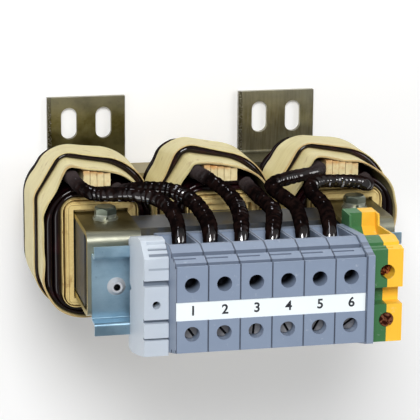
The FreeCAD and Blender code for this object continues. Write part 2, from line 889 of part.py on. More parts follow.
def ground_foot(play):
    """Metal foot that joins the ground bar to the rail, grown by play to cut its room."""
    x = ground_x() + ground_width / 2
    half = bar_width / 2 + play
    z_bar = z_wire + wire_room / 2
    stem = box(x - half, x + half, -ground_stem / 2 - play, ground_stem / 2 + play,
               z_rail_front, z_bar)
    reach = rail_width / 2 - hook_depth
    sole = box(x - half, x + half, rail_centre_y - reach - play, rail_centre_y + reach + play,
               z_rail_front, z_rail_front + bar_thickness + play)
    return stem.fuse(sole).removeSplitter()


def end_clamp():
    """Ribbed clamp that holds the row from sliding on the rail."""
    x1 = block_row_start - block_gap
    x0 = x1 - end_clamp_width
    z_front = z_rail_front + end_clamp_height
    z_claw = z_rail_front - rail_sheet - hook_gap
    z_back = z_claw - hook_thickness
    upper = rail_centre_y + rail_width / 2 + hook_gap
    lower = rail_centre_y - rail_width / 2 - hook_gap
    top = end_clamp_top
    low = end_clamp_bottom
    outline = [(end_clamp_brow, z_front), (top, z_front - end_clamp_brow_drop),
               (top, z_front - end_clamp_side_drop), (top - end_clamp_waist, z_rail_front),
               (upper + hook_wall, z_rail_front),
               (upper + hook_wall, z_back), (upper - hook_depth, z_back),
               (upper - hook_depth, z_claw), (upper, z_claw), (upper, z_rail_front),
               (rail_centre_y + end_clamp_notch, z_rail_front),
               (rail_centre_y + end_clamp_notch / 2, z_rail_front + end_clamp_notch),
               (rail_centre_y, z_rail_front),
               (lower, z_rail_front), (lower, z_claw), (lower + hook_depth, z_claw),
               (lower + hook_depth, z_back), (low, z_back), (low, z_rail_front + end_clamp_toe),
               (low + end_clamp_shin, z_rail_front + end_clamp_shin_height),
               (low + end_clamp_chin, z_front)]
    shape = prism_x(outline, x0, x1)
    for y0, width in end_clamp_grooves:
        shape = shape.cut(box(x0, x1, y0, y0 + width, z_front - end_clamp_groove_depth, z_front))
    for i in range(rib_count):
        z = z_front - rib_start - i * rib_pitch
        shape = shape.cut(box(x0 + rib_web, x1, top - rib_depth + i * rib_lean, top + overcut,
                              z, z + rib_gap))
    x = (x0 + x1) / 2
    y = (end_clamp_grooves[0][0] + end_clamp_grooves[1][0]) / 2
    hole = rod(end_clamp_hole / 2, (x, y, z_front - end_clamp_screw_depth), (0, 0, 1),
               end_clamp_screw_depth)
    return shape.cut(hole)


def end_clamp_screw():
    """Screw at the bottom of the end clamp's hole."""
    x = block_row_start - block_gap - end_clamp_width / 2
    y = (end_clamp_grooves[0][0] + end_clamp_grooves[1][0]) / 2
    z = z_rail_front + end_clamp_height - end_clamp_screw_depth
    return rod(end_clamp_hole / 2, (x, y, z), (0, 0, 1), end_clamp_screw_length)


# Leads


def lead_routes():
    """Route of each lead, chosen by hand: its leg, then (x, y, z) from that leg's middle,
    from the top of the inner winding and from the front of the inner winding."""
    return [
        (0, [(-10.8, 2.1, -15.0), (-10.8, 2.1, -9.5), (-10.8, 4.2, -1.5), (-10.6, 4.0, 3.5),
             (-8.9, 1.9, 9.0), (-4.0, 0.4, 15.0), (2.4, 1.9, 21.0), (9.0, 2.8, 26.2),
             (15.4, 2.8, 31.0), (20.2, 0.8, 37.5), (21.9, -3.0, 46.5)]),
        (0, [(6.9, -1.3, 0.0), (6.9, -1.3, 4.4), (10.4, 0.6, 8.8), (14.9, 1.9, 13.2),
             (21.0, 2.9, 19.0), (27.0, 2.6, 26.0), (31.9, 0.2, 34.0), (34.1, -3.6, 44.5)]),
        (1, [(-10.9, 2.1, -15.0), (-10.9, 2.1, -9.5), (-10.9, 4.2, -1.5), (-10.7, 4.2, 3.5),
             (-7.8, 3.1, 9.0), (-5.0, 1.8, 16.0), (-2.9, 0.1, 24.0), (-1.9, -1.9, 33.0),
             (-3.0, -4.2, 43.0)]),
        (1, [(9.0, -1.3, 0.0), (9.0, -1.3, 4.0), (10.1, -3.0, 11.0), (11.8, -4.0, 21.0),
             (12.4, -4.2, 30.0), (11.2, -4.6, 39.0)]),
        (2, [(-10.8, 2.1, -15.0), (-10.8, 2.1, -9.5), (-10.8, 4.2, 1.8), (-14.6, 3.7, 5.8),
             (-21.6, 2.8, 7.2), (-29.8, 1.8, 9.4), (-34.9, 0.9, 13.4), (-34.2, -0.1, 19.8),
             (-31.5, -1.4, 26.6), (-30.0, -2.6, 34.4), (-30.4, -4.1, 42.0)]),
        (2, [(7.7, -1.3, 0.0), (7.7, -1.3, 3.4), (7.5, -2.6, 7.2), (4.5, -0.6, 10.2),
             (-0.1, 0.7, 11.2), (-7.5, 0.9, 11.2), (-14.1, 1.5, 11.6), (-18.5, 0.4, 14.0),
             (-19.7, -1.3, 19.2), (-18.1, -2.7, 25.2), (-17.5, -3.7, 32.0),
             (-18.9, -4.6, 40.5)]),
    ]


def lead_points(number):
    """Route from the coil, with its run down into the block's clamp."""
    leg, route = lead_routes()[number - 1]
    x = block_x(number) + block_pitch / 2 + lead_entry_shift[number - 1]
    end = screw_offset + cage_depth / 2 + lead_end_gap
    points = [(leg_positions[leg] + dx, wind_out[1] + dy, z_wind_1 + dz) for dx, dy, dz in route]
    return points + [(x, end + lead_run_in, z_wire), (x, end, z_wire)]


def tangent_path(points):
    """Straight runs joined by tangent arcs, each as large as its two runs allow."""
    points = [Vector(*p) for p in points]
    edges = []
    start = points[0]
    radii = []
    for before, here, after in zip(points, points[1:], points[2:]):
        back = before - here
        ahead = after - here
        reach = 0.45 * min(back.Length, ahead.Length)
        back.normalize()
        ahead.normalize()
        half_angle = back.getAngle(ahead) / 2
        radius = reach * math.tan(half_angle)
        inward = back + ahead
        inward.normalize()
        arc_start = here + back * reach
        arc_end = here + ahead * reach
        middle = here + inward * (radius / math.sin(half_angle) - radius)
        edges.append(Part.makeLine(start, arc_start))
        edges.append(Part.Arc(arc_start, middle, arc_end).toShape())
        start = arc_end
        radii.append(round(radius, 1))
    edges.append(Part.makeLine(start, points[-1]))
    return Part.Wire(edges), radii


def lead(number):
    """Sleeved lead, whole from coil to block, with its bare end in the clamp."""
    points = lead_points(number)
    path, radii = tangent_path(points)
    first = Vector(*points[1]) - Vector(*points[0])
    circle = Part.makeCircle(lead_diameter / 2, Vector(*points[0]), first)
    tube = path.makePipeShell([Part.Wire(circle)], True, True)
    expected = math.pi * lead_diameter ** 2 / 4 * path.Length
    print("lead", number, "length", round(path.Length, 1), "radii", radii,
          "volume ratio", round(tube.Volume / expected, 4))
    bare = rod(lead_core_diameter / 2, points[-1], (0, -1, 0), lead_core_length)
    return tube.fuse(bare)


def main():
    """Build and write every sub-part."""
    os.makedirs("parts", exist_ok=True)
    save("core_e_stack", core_e_stack())
    save("core_front_yoke", core_front_yoke())
    save("air_gap_spacers", *air_gap_spacers())
    wedges = []
    for number, x in enumerate(leg_positions, 1):
        save(f"coil_former_{number}", coil_former(x))
        save(f"leg_wrap_{number}", leg_wrap(x))
        save(f"inner_winding_{number}", inner_winding(x))
        save(f"packing_sticks_{number}", *packing_sticks(number))
        save(f"inner_paper_{number}", inner_paper(x))
        save(f"outer_winding_{number}", outer_winding(x))
        save(f"outer_paper_{number}", outer_paper(x))
        wedges += leg_wedges(x)
    save("leg_wedges", *wedges)

    save("front_clamp_left", front_clamp(leg_positions[0]))
    save("front_clamp_right", front_clamp(leg_positions[-1]))
    for side, x in (("left", foot_shift_x - foot_centre_x), ("right", foot_shift_x + foot_centre_x)):
        bracket = foot(x)
        save("foot_upper_" + side, bracket)
        save("foot_lower_" + side, mirror_y(bracket))
    save("din_rail", din_rail())
    save("rail_rivets", blind_rivet(-rivet_x), blind_rivet(rivet_x))

    places = bolt_places()
    save("hex_bolts", *[hex_bolt(*place) for place in places])
    save("hex_nuts", *[hex_nut(*place) for place in places])
    save("plain_washers", *[washer for place in places for washer in plain_washers(*place)])
    save("spring_washers", *[spring_washer(*place) for place in places])

    centres = [block_x(n) + block_pitch / 2 for n in range(1, block_count + 1)]
    ground_centre = ground_x() + ground_width / 2
    for number in range(1, block_count + 1):
        save(f"terminal_housing_{number}", terminal_housing(number))
        save(f"lead_{number}", lead(number))
    clamp_places = [(x, y) for x in centres + [ground_centre]
                    for y in (screw_offset, -screw_offset)]
    save("clamp_cages", *[clamp_cage(x, y) for x, y in clamp_places])
    save("clamp_screws", *[clamp_screw(x, y, 0.0 if y > 0 else screw_backed_out, turn)
                           for (x, y), turn in zip(clamp_places, screw_turns)])
    save("current_bars", *[current_bar(x) for x in centres + [ground_centre]])
    save("terminal_end_plate", end_plate())
    save("marker_strip", marker_strip())
    green, yellow = ground_halves()
    save("ground_housing_green", green)
    save("ground_housing_yellow", yellow)
    save("ground_rail_foot", ground_foot(0.0))
    save("end_clamp", end_clamp())
    save("end_clamp_screw", end_clamp_screw())


main()
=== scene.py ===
"""Looks of the three-phase reactor: finishes for every solid, and the coils' paper, windings and
sleeved leads as modelled pieces. Sizes in the code are millimetres and become metres in the meshes.
"""
import json
import math

import bpy
from bpy.props import FloatProperty, FloatVectorProperty, IntProperty, PointerProperty
from mathutils import Matrix, Vector, noise


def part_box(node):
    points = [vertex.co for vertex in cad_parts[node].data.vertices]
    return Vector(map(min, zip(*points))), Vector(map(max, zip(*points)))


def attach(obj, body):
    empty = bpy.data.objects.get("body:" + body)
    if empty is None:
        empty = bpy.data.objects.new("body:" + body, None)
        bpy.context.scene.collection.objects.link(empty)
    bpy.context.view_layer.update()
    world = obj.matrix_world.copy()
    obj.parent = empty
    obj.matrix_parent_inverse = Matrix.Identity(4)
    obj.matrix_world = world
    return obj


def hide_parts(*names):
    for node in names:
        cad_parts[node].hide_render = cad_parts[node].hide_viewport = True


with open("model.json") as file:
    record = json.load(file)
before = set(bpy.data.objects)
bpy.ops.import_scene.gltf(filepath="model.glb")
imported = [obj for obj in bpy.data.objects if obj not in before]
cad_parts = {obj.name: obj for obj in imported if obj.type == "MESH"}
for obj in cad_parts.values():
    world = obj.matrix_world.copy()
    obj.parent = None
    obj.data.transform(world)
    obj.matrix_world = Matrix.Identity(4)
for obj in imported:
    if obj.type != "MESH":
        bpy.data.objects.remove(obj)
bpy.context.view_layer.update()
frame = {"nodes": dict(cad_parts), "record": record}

bl_info = {
    "name": "Three-phase reactor",
    "version": (1, 0, 0),
    "blender": (4, 5, 0),
    "location": "3D View > Sidebar > Reactor",
    "description": "Dresses an open three-leg reactor with taped coils and a terminal row",
    "category": "Object",
}

MM = 0.001
COILS = (1, 2, 3)
TERMINALS = (1, 2, 3, 4, 5, 6)
# Points along each arc and each side of a coil's outline
ARC_STEPS = 16
SIDE_STEPS = 24


def box_of(node):
    """Lowest and highest corner of a node, in millimetres."""
    low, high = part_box(node)
    return Vector(low) / MM, Vector(high) / MM


# Shader maths


class Socket:
    """A shader value that Python's operators work on."""

    def __init__(self, finish, socket):
        self.finish = finish
        self.socket = socket

    def maths(self, operation, *values):
        """The result of a Math node."""
        return self.finish.node("ShaderNodeMath", {"operation": operation},
                                dict(enumerate(values)))

    def __add__(self, other):
        return self.maths("ADD", self, other)

    __radd__ = __add__

    def __sub__(self, other):
        return self.maths("SUBTRACT", self, other)

    def __rsub__(self, other):
        return self.maths("SUBTRACT", other, self)

    def __mul__(self, other):
        return self.maths("MULTIPLY", self, other)

    __rmul__ = __mul__

    def __truediv__(self, other):
        return self.maths("DIVIDE", self, other)

    def __neg__(self):
        return self * -1.0

    def __gt__(self, other):
        return self.maths("GREATER_THAN", self, other)

    def __lt__(self, other):
        return self.maths("LESS_THAN", self, other)

    def sine(self):
        return self.maths("SINE", self)

    def fraction(self):
        return self.maths("FRACT", self)

    def size(self):
        return self.maths("ABSOLUTE", self)

    def between(self, low, high):
        """1 between low and high, 0 outside."""
        return (self > low) * (self < high)

    def smooth(self, low, high):
        """0 below low, 1 above high, a smooth step between."""
        return self.finish.node("ShaderNodeMapRange", {"interpolation_type": "SMOOTHSTEP"},
                                {0: self, 1: low, 2: high, 3: 0.0, 4: 1.0})


def disc(across, along, radius):
    """1 within radius of where across and along are both 0, 0 outside."""
    return (across * across + along * along) < radius * radius


def shade(rgb):
    """Linear colour from one on screen, 0 to 255."""
    return tuple(((v / 255 + 0.055) / 1.055) ** 2.4 if v > 10 else v / 255 / 12.92 for v in rgb)


class Finish:
    """A material with one Principled shader, and the nodes that feed it. Its colours are given
    as on screen, 0 to 255."""

    def __init__(self, name):
        self.material = bpy.data.materials.new(name)
        self.material.use_nodes = True
        self.tree = self.material.node_tree
        self.shader = self.tree.nodes["Principled BSDF"]
        self.coordinates = None

    def node(self, kind, settings=None, inputs=None, output=0):
        """A new node: its settings first, then the values or links of its sockets."""
        made = self.tree.nodes.new(kind)
        for name, value in (settings or {}).items():
            setattr(made, name, value)
        for key, value in (inputs or {}).items():
            self.feed(made.inputs[key], value)
        return Socket(self, made.outputs[output])

    def feed(self, socket, value):
        """Link or set one input."""
        if isinstance(value, Socket):
            self.tree.links.new(value.socket, socket)
        elif socket.type == "RGBA":
            socket.default_value = (*shade(value), 1.0)
        else:
            socket.default_value = value

    def set(self, **sockets):
        """Feed the Principled shader."""
        for name, value in sockets.items():
            self.feed(self.shader.inputs[name.replace("_", " ")], value)

    def place(self):
        """The point on the object, in millimetres."""
        if self.coordinates is None:
            raw = self.node("ShaderNodeTexCoord", output="Object")
            self.coordinates = self.node("ShaderNodeVectorMath", {"operation": "SCALE"},
                                         {0: raw, "Scale": 1 / MM})
        return self.coordinates

    def axis(self, letter):
        """One coordinate of the point, in millimetres."""
        return self.node("ShaderNodeSeparateXYZ", {}, {0: self.place()}, "XYZ".index(letter))

    def facing(self, letter):
        """One coordinate of the surface's normal."""
        normal = self.node("ShaderNodeNewGeometry", output="Normal")
        return self.node("ShaderNodeSeparateXYZ", {}, {0: normal}, "XYZ".index(letter))

    def grain(self, size, detail=3.0, rough=0.5, stretch=(1.0, 1.0, 1.0)):
        """Noise from 0 to 1 with features of about size millimetres, finer along an axis whose
        stretch is above 1 and longer where it is below."""
        stretched = self.node("ShaderNodeVectorMath", {"operation": "MULTIPLY"},
                              {0: self.place(), 1: stretch})
        return self.node("ShaderNodeTexNoise", {}, {"Vector": stretched, "Scale": 1 / size,
                                                    "Detail": detail, "Roughness": rough})

    def blend(self, factor, low, high):
        """Colour between low and high."""
        return self.node("ShaderNodeMix", {"data_type": "RGBA"},
                         {0: factor, 6: low, 7: high}, 2)

    def tint(self, share, colour):
        """Blend a colour over the present one."""
        present = Socket(self, self.shader.inputs["Base Color"].links[0].from_socket)
        self.set(Base_Color=self.blend(share, present, colour))

    def relief(self, height, depth):
        """Feed the surface's bump: height times depth millimetres."""
        bump = self.node("ShaderNodeBump", {}, {"Height": height, "Distance": depth * MM,
                                                "Strength": 1.0})
        self.set(Normal=bump)


# Finishes. Each is named for its material slot, except the numbers' ink and the floor's, which no
# solid wears.

finishes = {}


def finish(maker):
    """Decorator: keep the function that fills in one finish."""
    finishes[maker.__name__] = maker
    return maker


def chosen(name):
    """A colour that the user can change, 0 to 255."""
    return tuple(v * 255 for v in getattr(bpy.context.scene.reactor_colours, name))


@finish
def core_steel(made):
    """Stack of electrical sheet with fine lines on its cut sides. Brown varnish covers the rear
    yoke."""
    sheet = 0.5
    yoke_front = box_of("coil_former_1")[0].z
    lines = (made.axis("Y") * (math.tau / sheet)).sine()
    clouds = made.grain(9.0, 4.0)
    streaks = made.grain(1.2, 4.0, 0.6, (1.0, 6.0, 1.0))
    runs = made.grain(14.0, 3.0, 0.6, (1.0, 0.4, 1.0)).smooth(0.52, 0.62)
    bare = made.axis("Z").smooth(yoke_front + 1.0, yoke_front + 7.0)
    steel = made.blend(clouds, (72, 75, 82), (104, 108, 116))
    steel = made.blend(streaks * 0.5, steel, (62, 60, 52))
    steel = made.blend(runs * 0.45, steel, (96, 84, 46))
    varnished = made.blend(clouds, (122, 106, 62), (176, 160, 112))
    made.set(Base_Color=made.blend(bare, varnished, steel), Metallic=bare * 0.5 + 0.05,
             Roughness=clouds * 0.25 + 0.32)
    made.relief(lines * 0.5 + streaks * 0.6, 0.05)


@finish
def hard_spacer(made):
    """Glass-fibre board."""
    made.set(Base_Color=made.blend(made.grain(3.0), (150, 138, 84), (190, 176, 120)),
             Roughness=0.5)


@finish
def pressboard(made):
    """Tan board with its plies showing along the edges and varnish soaked into spots."""
    plies = made.grain(0.9, 3.0, 0.6, (1.0, 1.0, 0.12))
    soaked = made.grain(5.0, 4.0, 0.6).smooth(0.55, 0.67)
    board = made.blend(plies, (206, 178, 108), (235, 213, 150))
    made.set(Base_Color=made.blend(soaked * 0.6, board, (150, 100, 40)),
             Roughness=plies * 0.2 + 0.42)
    made.relief(plies, 0.05)


@finish
def coil_paper(made):
    """Cream insulating paper, drawn tight, with fine lines along its turns and stained rims. The
    varnish has run in orange under the fold of the collar."""
    coil = Coil(2)
    height = made.axis("Z")
    turns = made.grain(1.1, 4.0, 0.6, (0.12, 0.12, 1.0))
    wide = made.grain(7.0, 3.0, 0.5, (0.3, 0.3, 1.0))
    fibre = made.grain(0.35, 2.0, 0.7)
    soaked = made.grain(6.0, 5.0, 0.65).smooth(0.6, 0.7)
    under_fold = (made.facing("X").smooth(0.15, 0.45) * (-made.facing("Y")).smooth(0.15, 0.45)
                  * made.axis("Y").smooth(14.0, 20.0))
    paper = made.blend(wide, (212, 198, 138), chosen("paper"))
    paper = made.blend(turns.smooth(0.35, 0.75) * 0.35, paper, (186, 166, 102))
    paper = made.blend(under_fold * wide.smooth(0.3, 0.6), paper, (196, 118, 48))
    made.set(Base_Color=made.blend(soaked * 0.3, paper, (166, 118, 52)),
             Roughness=wide * 0.2 + 0.45, Coat_Weight=soaked * 0.3, Coat_Roughness=0.25)
    band_rim = (height.smooth(coil.z_collar - 2.4, coil.z_collar - 0.8)
                * (height < coil.z_collar + 0.6))
    collar_rim = height.smooth(coil.z_front - 2.6, coil.z_front - 0.8)
    made.tint((band_rim + collar_rim) * wide.smooth(0.35, 0.65) * 0.45, (186, 132, 62))
    made.relief(turns * 0.7 + fibre * 0.3, 0.12)


@finish
def enamelled_wire(made):
    """Near-black enamel under glossy varnish, with a red-brown cast in places."""
    drips = made.grain(3.0, 3.0, 0.5)
    made.set(Base_Color=made.blend(drips, (9, 5, 6), (26, 11, 13)),
             Roughness=drips * 0.15 + 0.25, IOR=1.0, Coat_Roughness=0.05,
             Coat_Weight=made.facing("Z").smooth(0.1, 0.5) * 0.9)
    made.tint(made.grain(7.0, 2.0).smooth(0.54, 0.64) * 0.4, (50, 14, 20))
    made.relief(drips, 0.12)


@finish
def duct_wood(made):
    """End grain of rough cut sticks, orange where the varnish has run in under the fold."""
    top = box_of("packing_sticks_2")[1].y
    rings = made.grain(0.8, 4.0, 0.7, (1.0, 0.25, 0.2))
    soaked = (made.grain(3.5, 4.0, 0.6).smooth(0.5, 0.64) * 0.3
              + made.axis("Y").smooth(top - 2.6, top - 0.6) * 0.6)
    wood = made.blend(rings, (222, 200, 142), (246, 232, 186))
    made.set(Base_Color=made.blend(soaked, wood, (214, 146, 66)), Roughness=0.6 - soaked * 0.25)
    made.relief(rings, 0.25)


def sheet_steel(made, dark, light, stain, roughness):
    """Passivated zinc on sheet steel: clouded tint, drawn lines and small scratches."""
    clouds = made.grain(12.0, 5.0, 0.6)
    drawn = made.grain(0.6, 4.0, 0.7, (0.06, 1.0, 1.0))
    marks = made.grain(2.2, 5.0, 0.7).smooth(0.6, 0.66)
    metal = made.blend(clouds.smooth(0.3, 0.7), dark, light)
    metal = made.blend(drawn * 0.3, metal, stain)
    made.set(Base_Color=made.blend(marks * 0.35, metal, stain), Metallic=0.85,
             Roughness=clouds * 0.22 + drawn * 0.08 + roughness)
    made.relief(drawn * 0.6 + made.grain(4.0, 3.0) * 0.8, 0.06)


@finish
def bracket_steel(made):
    """Olive sheet. The clamps carry painted light: a painted reflection makes them bright grey in
    front, painted shade darkens their tops, and painted light brightens their left sides. The feet
    carry a painted highlight towards their tips and painted shade where they leave the coils. The
    right foot has a painted sheen in brushed streaks, and the feet's left edges are sawn, dark and
    speckled with painted glints."""
    sheet_steel(made, (92, 84, 38), (148, 140, 92), (70, 58, 20), 0.2)
    clamp = made.axis("Z") > box_of("front_clamp_left")[0].z - 10.0
    # Painted reflection: the clamps' faces that look to the front are bright grey
    made.tint(clamp * made.facing("Z").smooth(0.1, 0.6) * 0.8, (172, 174, 160))
    # Painted shade on the clamps' tops
    made.tint(clamp * made.facing("Y").smooth(0.7, 0.98) * 0.6, (66, 54, 10))
    # Painted light on the clamps' left sides
    made.tint(clamp * (-made.facing("X")).smooth(0.6, 0.9) * 0.85, (168, 148, 70))
    foot = 1.0 - clamp
    tip = box_of("foot_upper_left")[1].y
    # Painted highlight towards the tips of the feet
    made.tint(foot * made.axis("Y").smooth(tip - 11.4, tip + 0.6) * 0.35, (176, 176, 166))
    # Painted shade on the feet where they leave the coils
    made.tint(foot * (tip - made.axis("Y")).smooth(11.4, 21.4) * 0.6, (50, 44, 20))
    # Painted sheen in brushed streaks on the right foot only
    brushed_sheen = made.grain(1.2, 4.0, 0.6, (1.0, 0.08, 1.0)).smooth(-0.1, 1.1)
    made.tint(foot * (made.axis("X") > 0.0) * brushed_sheen * 0.45, (206, 202, 180))
    # Painted glints speckle the sawn left edges of the feet
    glint_specks = made.grain(0.5, 2.0, 0.6).smooth(0.56, 0.6)
    for side in ("left", "right"):
        start = box_of(f"foot_upper_{side}")[0].x
        edge = foot * made.axis("X").between(start - 0.2, start + 1.7)
        made.tint(edge * 0.6, (44, 38, 20))
        made.tint(edge * glint_specks * 0.7, (214, 212, 200))


@finish
def zinc_fastener(made):
    """Greenish plated bolts and nuts, with bright washers under the upper bolts' heads and painted
    shade on the faces that look up.
    """
    head_height = 3.3
    sheet_steel(made, (108, 118, 106), (156, 164, 150), (92, 90, 66), 0.2)
    made.tint((made.axis("Y") < box_of("hex_bolts")[1].y - head_height) * 0.8, (206, 212, 200))
    # Painted shade on the faces that look up
    made.tint(made.facing("Y").smooth(0.6, 0.95) * 0.6, (92, 92, 70))


@finish
def rail_zinc(made):
    """Blue passivated rail, with painted shade that darkens it towards its lower edge."""
    sheet_steel(made, (154, 188, 208), chosen("rail"), (122, 150, 170), 0.24)
    # Painted shade, stronger towards the rail's lower edge
    made.tint((-made.axis("Y")).smooth(2.0, 16.0) * 0.4, (84, 110, 128))


@finish
def rivet_aluminium(made):
    """Bare rivets, with painted shade in their bores."""
    bore_radius = 1.34
    sheet_steel(made, (196, 198, 202), (226, 228, 232), (140, 140, 142), 0.16)
    low, high = box_of("rail_rivets")
    middle = (low + high) / 2
    from_middle = high.x - middle.x - (high.y - low.y) / 2
    # Painted shade in the rivets' bores
    bore_shade = disc((made.axis("X") - middle.x).size() - from_middle, made.axis("Y") - middle.y,
                bore_radius)
    made.set(Metallic=0.4)
    made.tint(bore_shade, (16, 18, 22))


@finish
def cage_metal(made):
    """Plated clamp cages."""
    sheet_steel(made, (96, 96, 92), (132, 132, 126), (70, 66, 58), 0.3)


@finish
def screw_metal(made):
    """Clamp screws: painted shade in their slots and over the whole upper row, red-brown in the
    ground terminal.
    """
    slot_floor = box_of("clamp_screws")[1].z - 0.5
    sheet_steel(made, (150, 148, 150), (206, 204, 204), (84, 76, 64), 0.22)
    # Painted shade in the screws' slots
    made.tint(made.axis("Z") < slot_floor, (22, 22, 26))
    # Painted shade over the upper row of screws, deep in their holes
    made.tint(made.axis("Y").smooth(-1.0, 1.0) * 0.85, (24, 26, 32))
    ground = made.axis("X") > box_of("ground_housing_green")[0].x
    made.tint(ground, (74, 26, 18))
    made.tint(ground * made.grain(1.3, 2.0).smooth(0.48, 0.56) * 0.8, (196, 128, 96))


@finish
def bar_copper(made):
    """Copper parts of the ground terminal and the current bars."""
    sheet_steel(made, (150, 92, 52), (186, 124, 76), (96, 56, 30), 0.28)


def moulding(made, light, deep, roughness=0.42):
    """Moulded plastic: faint flow marks, fine spark texture, slight shine."""
    flow = made.grain(10.0, 3.0)
    spark = made.grain(0.25, 2.0, 0.6)
    rubbed = made.grain(3.0, 5.0, 0.7).smooth(0.62, 0.7)
    base = made.blend(flow, deep, light)
    made.set(Base_Color=made.blend(rubbed * 0.15, base, (235, 238, 242)),
             Roughness=spark * 0.12 + rubbed * 0.1 + roughness)
    made.relief(spark + flow * 0.5, 0.03)


@finish
def block_grey(made):
    """Blue-grey housings, with painted shade down in the screw holes, in the ledges across the
    bevel and in the seams between them."""
    moulding(made, chosen("housing"), (128, 142, 164))
    hole_y, hole_radius = 9.2, 3.0
    bevel_y, bevel_height = 12.0, 14.6
    low, high = box_of("terminal_housing_1")
    pitch = box_of("terminal_housing_2")[0].x - low.x
    across = (((made.axis("X") - low.x) / pitch).fraction() - 0.5) * pitch
    hole = disc(across, made.axis("Y").size() - hole_y, hole_radius)
    # Painted shade down in the screw holes, deeper further in
    made.tint(hole * (high.z - made.axis("Z")).smooth(1.5, 9.0), (14, 16, 20))
    outside = made.facing("X").size() < 0.5
    bevel = outside * (made.axis("Y") > bevel_y)
    height = made.axis("Z") - (high.z - bevel_height)
    # Painted shade in the ledges, stronger on faces that do not look to the front
    dark = (made.facing("Z") < 0.2) * 0.4 + 0.45
    # Start and end of each ledge above the bevel's foot, and the share of the pitch it reaches to
    for start, end, reach in ((5.16, 7.66, 0.6), (8.95, 9.85, 0.2), (12.3, 14.2, 0.6)):
        ledge = height.between(start, end) * (across < reach * pitch)
        made.tint(ledge * bevel * dark, (46, 54, 70))
    # Painted shade in the seams between the housings
    made.tint((across.size() > pitch / 2 - 0.3) * outside * 0.75, (46, 52, 66))


@finish
def clamp_light_grey(made):
    """Pale end clamp, with painted shade in the gaps between the ribs of its upper end, in a groove
    and along the step below the ribs.
    """
    moulding(made, chosen("end_clamp"), (194, 203, 214))
    rib_y, rib_pitch = 12.0, 2.6
    low, high = box_of("end_clamp")
    depth = high.z - made.axis("Z")
    gaps = ((depth - 1.0) / rib_pitch).fraction() < 0.46
    ribbed = (made.axis("Y") > rib_y) * (made.axis("X") > low.x + 2.0) * depth.between(0.9, 7.4)
    # Painted shade in the gaps between the ribs
    made.tint(gaps * ribbed * 0.8, (92, 104, 120))
    # Painted shade on the floor of the groove
    made.tint(depth.between(1.0, 2.5) * (made.facing("Z") > 0.9) * 0.85, (84, 96, 112))
    step = made.axis("Y").between(rib_y - 0.3, rib_y + 0.5) * (made.axis("X") > low.x + 1.6)
    # Painted shade along the step below the ribs
    made.tint(step * (depth < 0.2) * 0.55, (120, 132, 148))


@finish
def ground_green(made):
    """Green half of the ground terminal."""
    moulding(made, chosen("ground_green"), (56, 110, 64))


@finish
def ground_yellow(made):
    """Yellow half of the ground terminal."""
    moulding(made, chosen("ground_yellow"), (252, 190, 44))


@finish
def marker_white(made):
    """White marking strip."""
    moulding(made, (246, 252, 253), (238, 248, 250), 0.5)


@finish
def lead_sleeve(made):
    """Black-brown sleeving: dry braid where it leaves the coils, glossy varnish further out, with
    broken streaks of painted highlight on it."""
    coil_front = box_of("inner_winding_1")[1].z
    highlight_normal_x = -0.24
    varnished = made.axis("Z").smooth(coil_front + 2.0, coil_front + 12.0)
    up = made.facing("Z")
    braid = made.grain(0.5, 3.0, 0.6)
    pooled = made.grain(3.0, 4.0, 0.6).smooth(0.4, 0.65)
    wet = made.blend(pooled, (12, 8, 8), chosen("sleeve"))
    dry = made.blend(braid, (46, 39, 39), (76, 67, 67))
    made.set(Base_Color=made.blend(varnished, dry, wet), Roughness=0.65 - varnished * 0.25,
             IOR=1.0, Coat_IOR=2.0, Coat_Roughness=0.05,
             Coat_Weight=(varnished * 0.9 + 0.1) * up.smooth(0.55, 0.8))
    # Painted highlights: broken streaks where the normal leans a little to the left, on the
    # varnished side that faces the front
    painted_streak = 1.0 - (made.facing("X") - highlight_normal_x).size().smooth(0.02, 0.07)
    broken = made.grain(1.7, 3.0, 0.6, (1.0, 0.6, 0.6)).smooth(0.5, 0.58)
    made.tint(painted_streak * broken * up.smooth(0.3, 0.5) * varnished * 0.5, (214, 214, 222))
    made.relief(braid * 0.35 + made.grain(1.4, 2.0) * 1.1, 0.16)


@finish
def number_ink(made):
    """Black print of the terminals' numbers."""
    worn = made.grain(0.4, 3.0)
    made.set(Base_Color=made.blend(worn, (20, 22, 28), (48, 52, 60)), Roughness=0.5)


@finish
def stage_floor(made):
    """Plain pale floor."""
    made.set(Base_Color=made.blend(made.grain(300.0), (250, 250, 250), (254, 254, 254)),
             Roughness=0.8, Emission_Color=(255, 255, 255), Emission_Strength=0.1)


# Meshes


def add_piece(name, shape, slot, node, sharp):
    """Link a mesh, (points, faces) in millimetres, as the piece that stands for a node."""
    points, faces = shape
    mesh = bpy.data.meshes.new(name)
    mesh.from_pydata([Vector(p) * MM for p in points], [], faces)
    mesh.validate()
    mesh.shade_smooth()
    mesh.set_sharp_from_angle(angle=math.radians(sharp))
    made = bpy.data.objects.new(name, mesh)
    bpy.context.scene.collection.objects.link(made)
    mesh.materials.append(finishes[slot].material)
    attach(made, "root")
    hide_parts(node)


def wave(*place, size, seed=0):
    """Smooth noise about from -1 to 1."""
    return noise.noise(Vector([v / size for v in place] + [0.0] * (3 - len(place)))
                       + Vector((17.3 * seed, 5.1 * seed, 9.7 * seed)))


def clamped(share):
    """The nearest value from 0 to 1."""
    return min(1.0, max(0.0, share))


def ease(share):
    """Smooth step from 0 to 1."""
    share = clamped(share)
    return share * share * (3.0 - 2.0 * share)


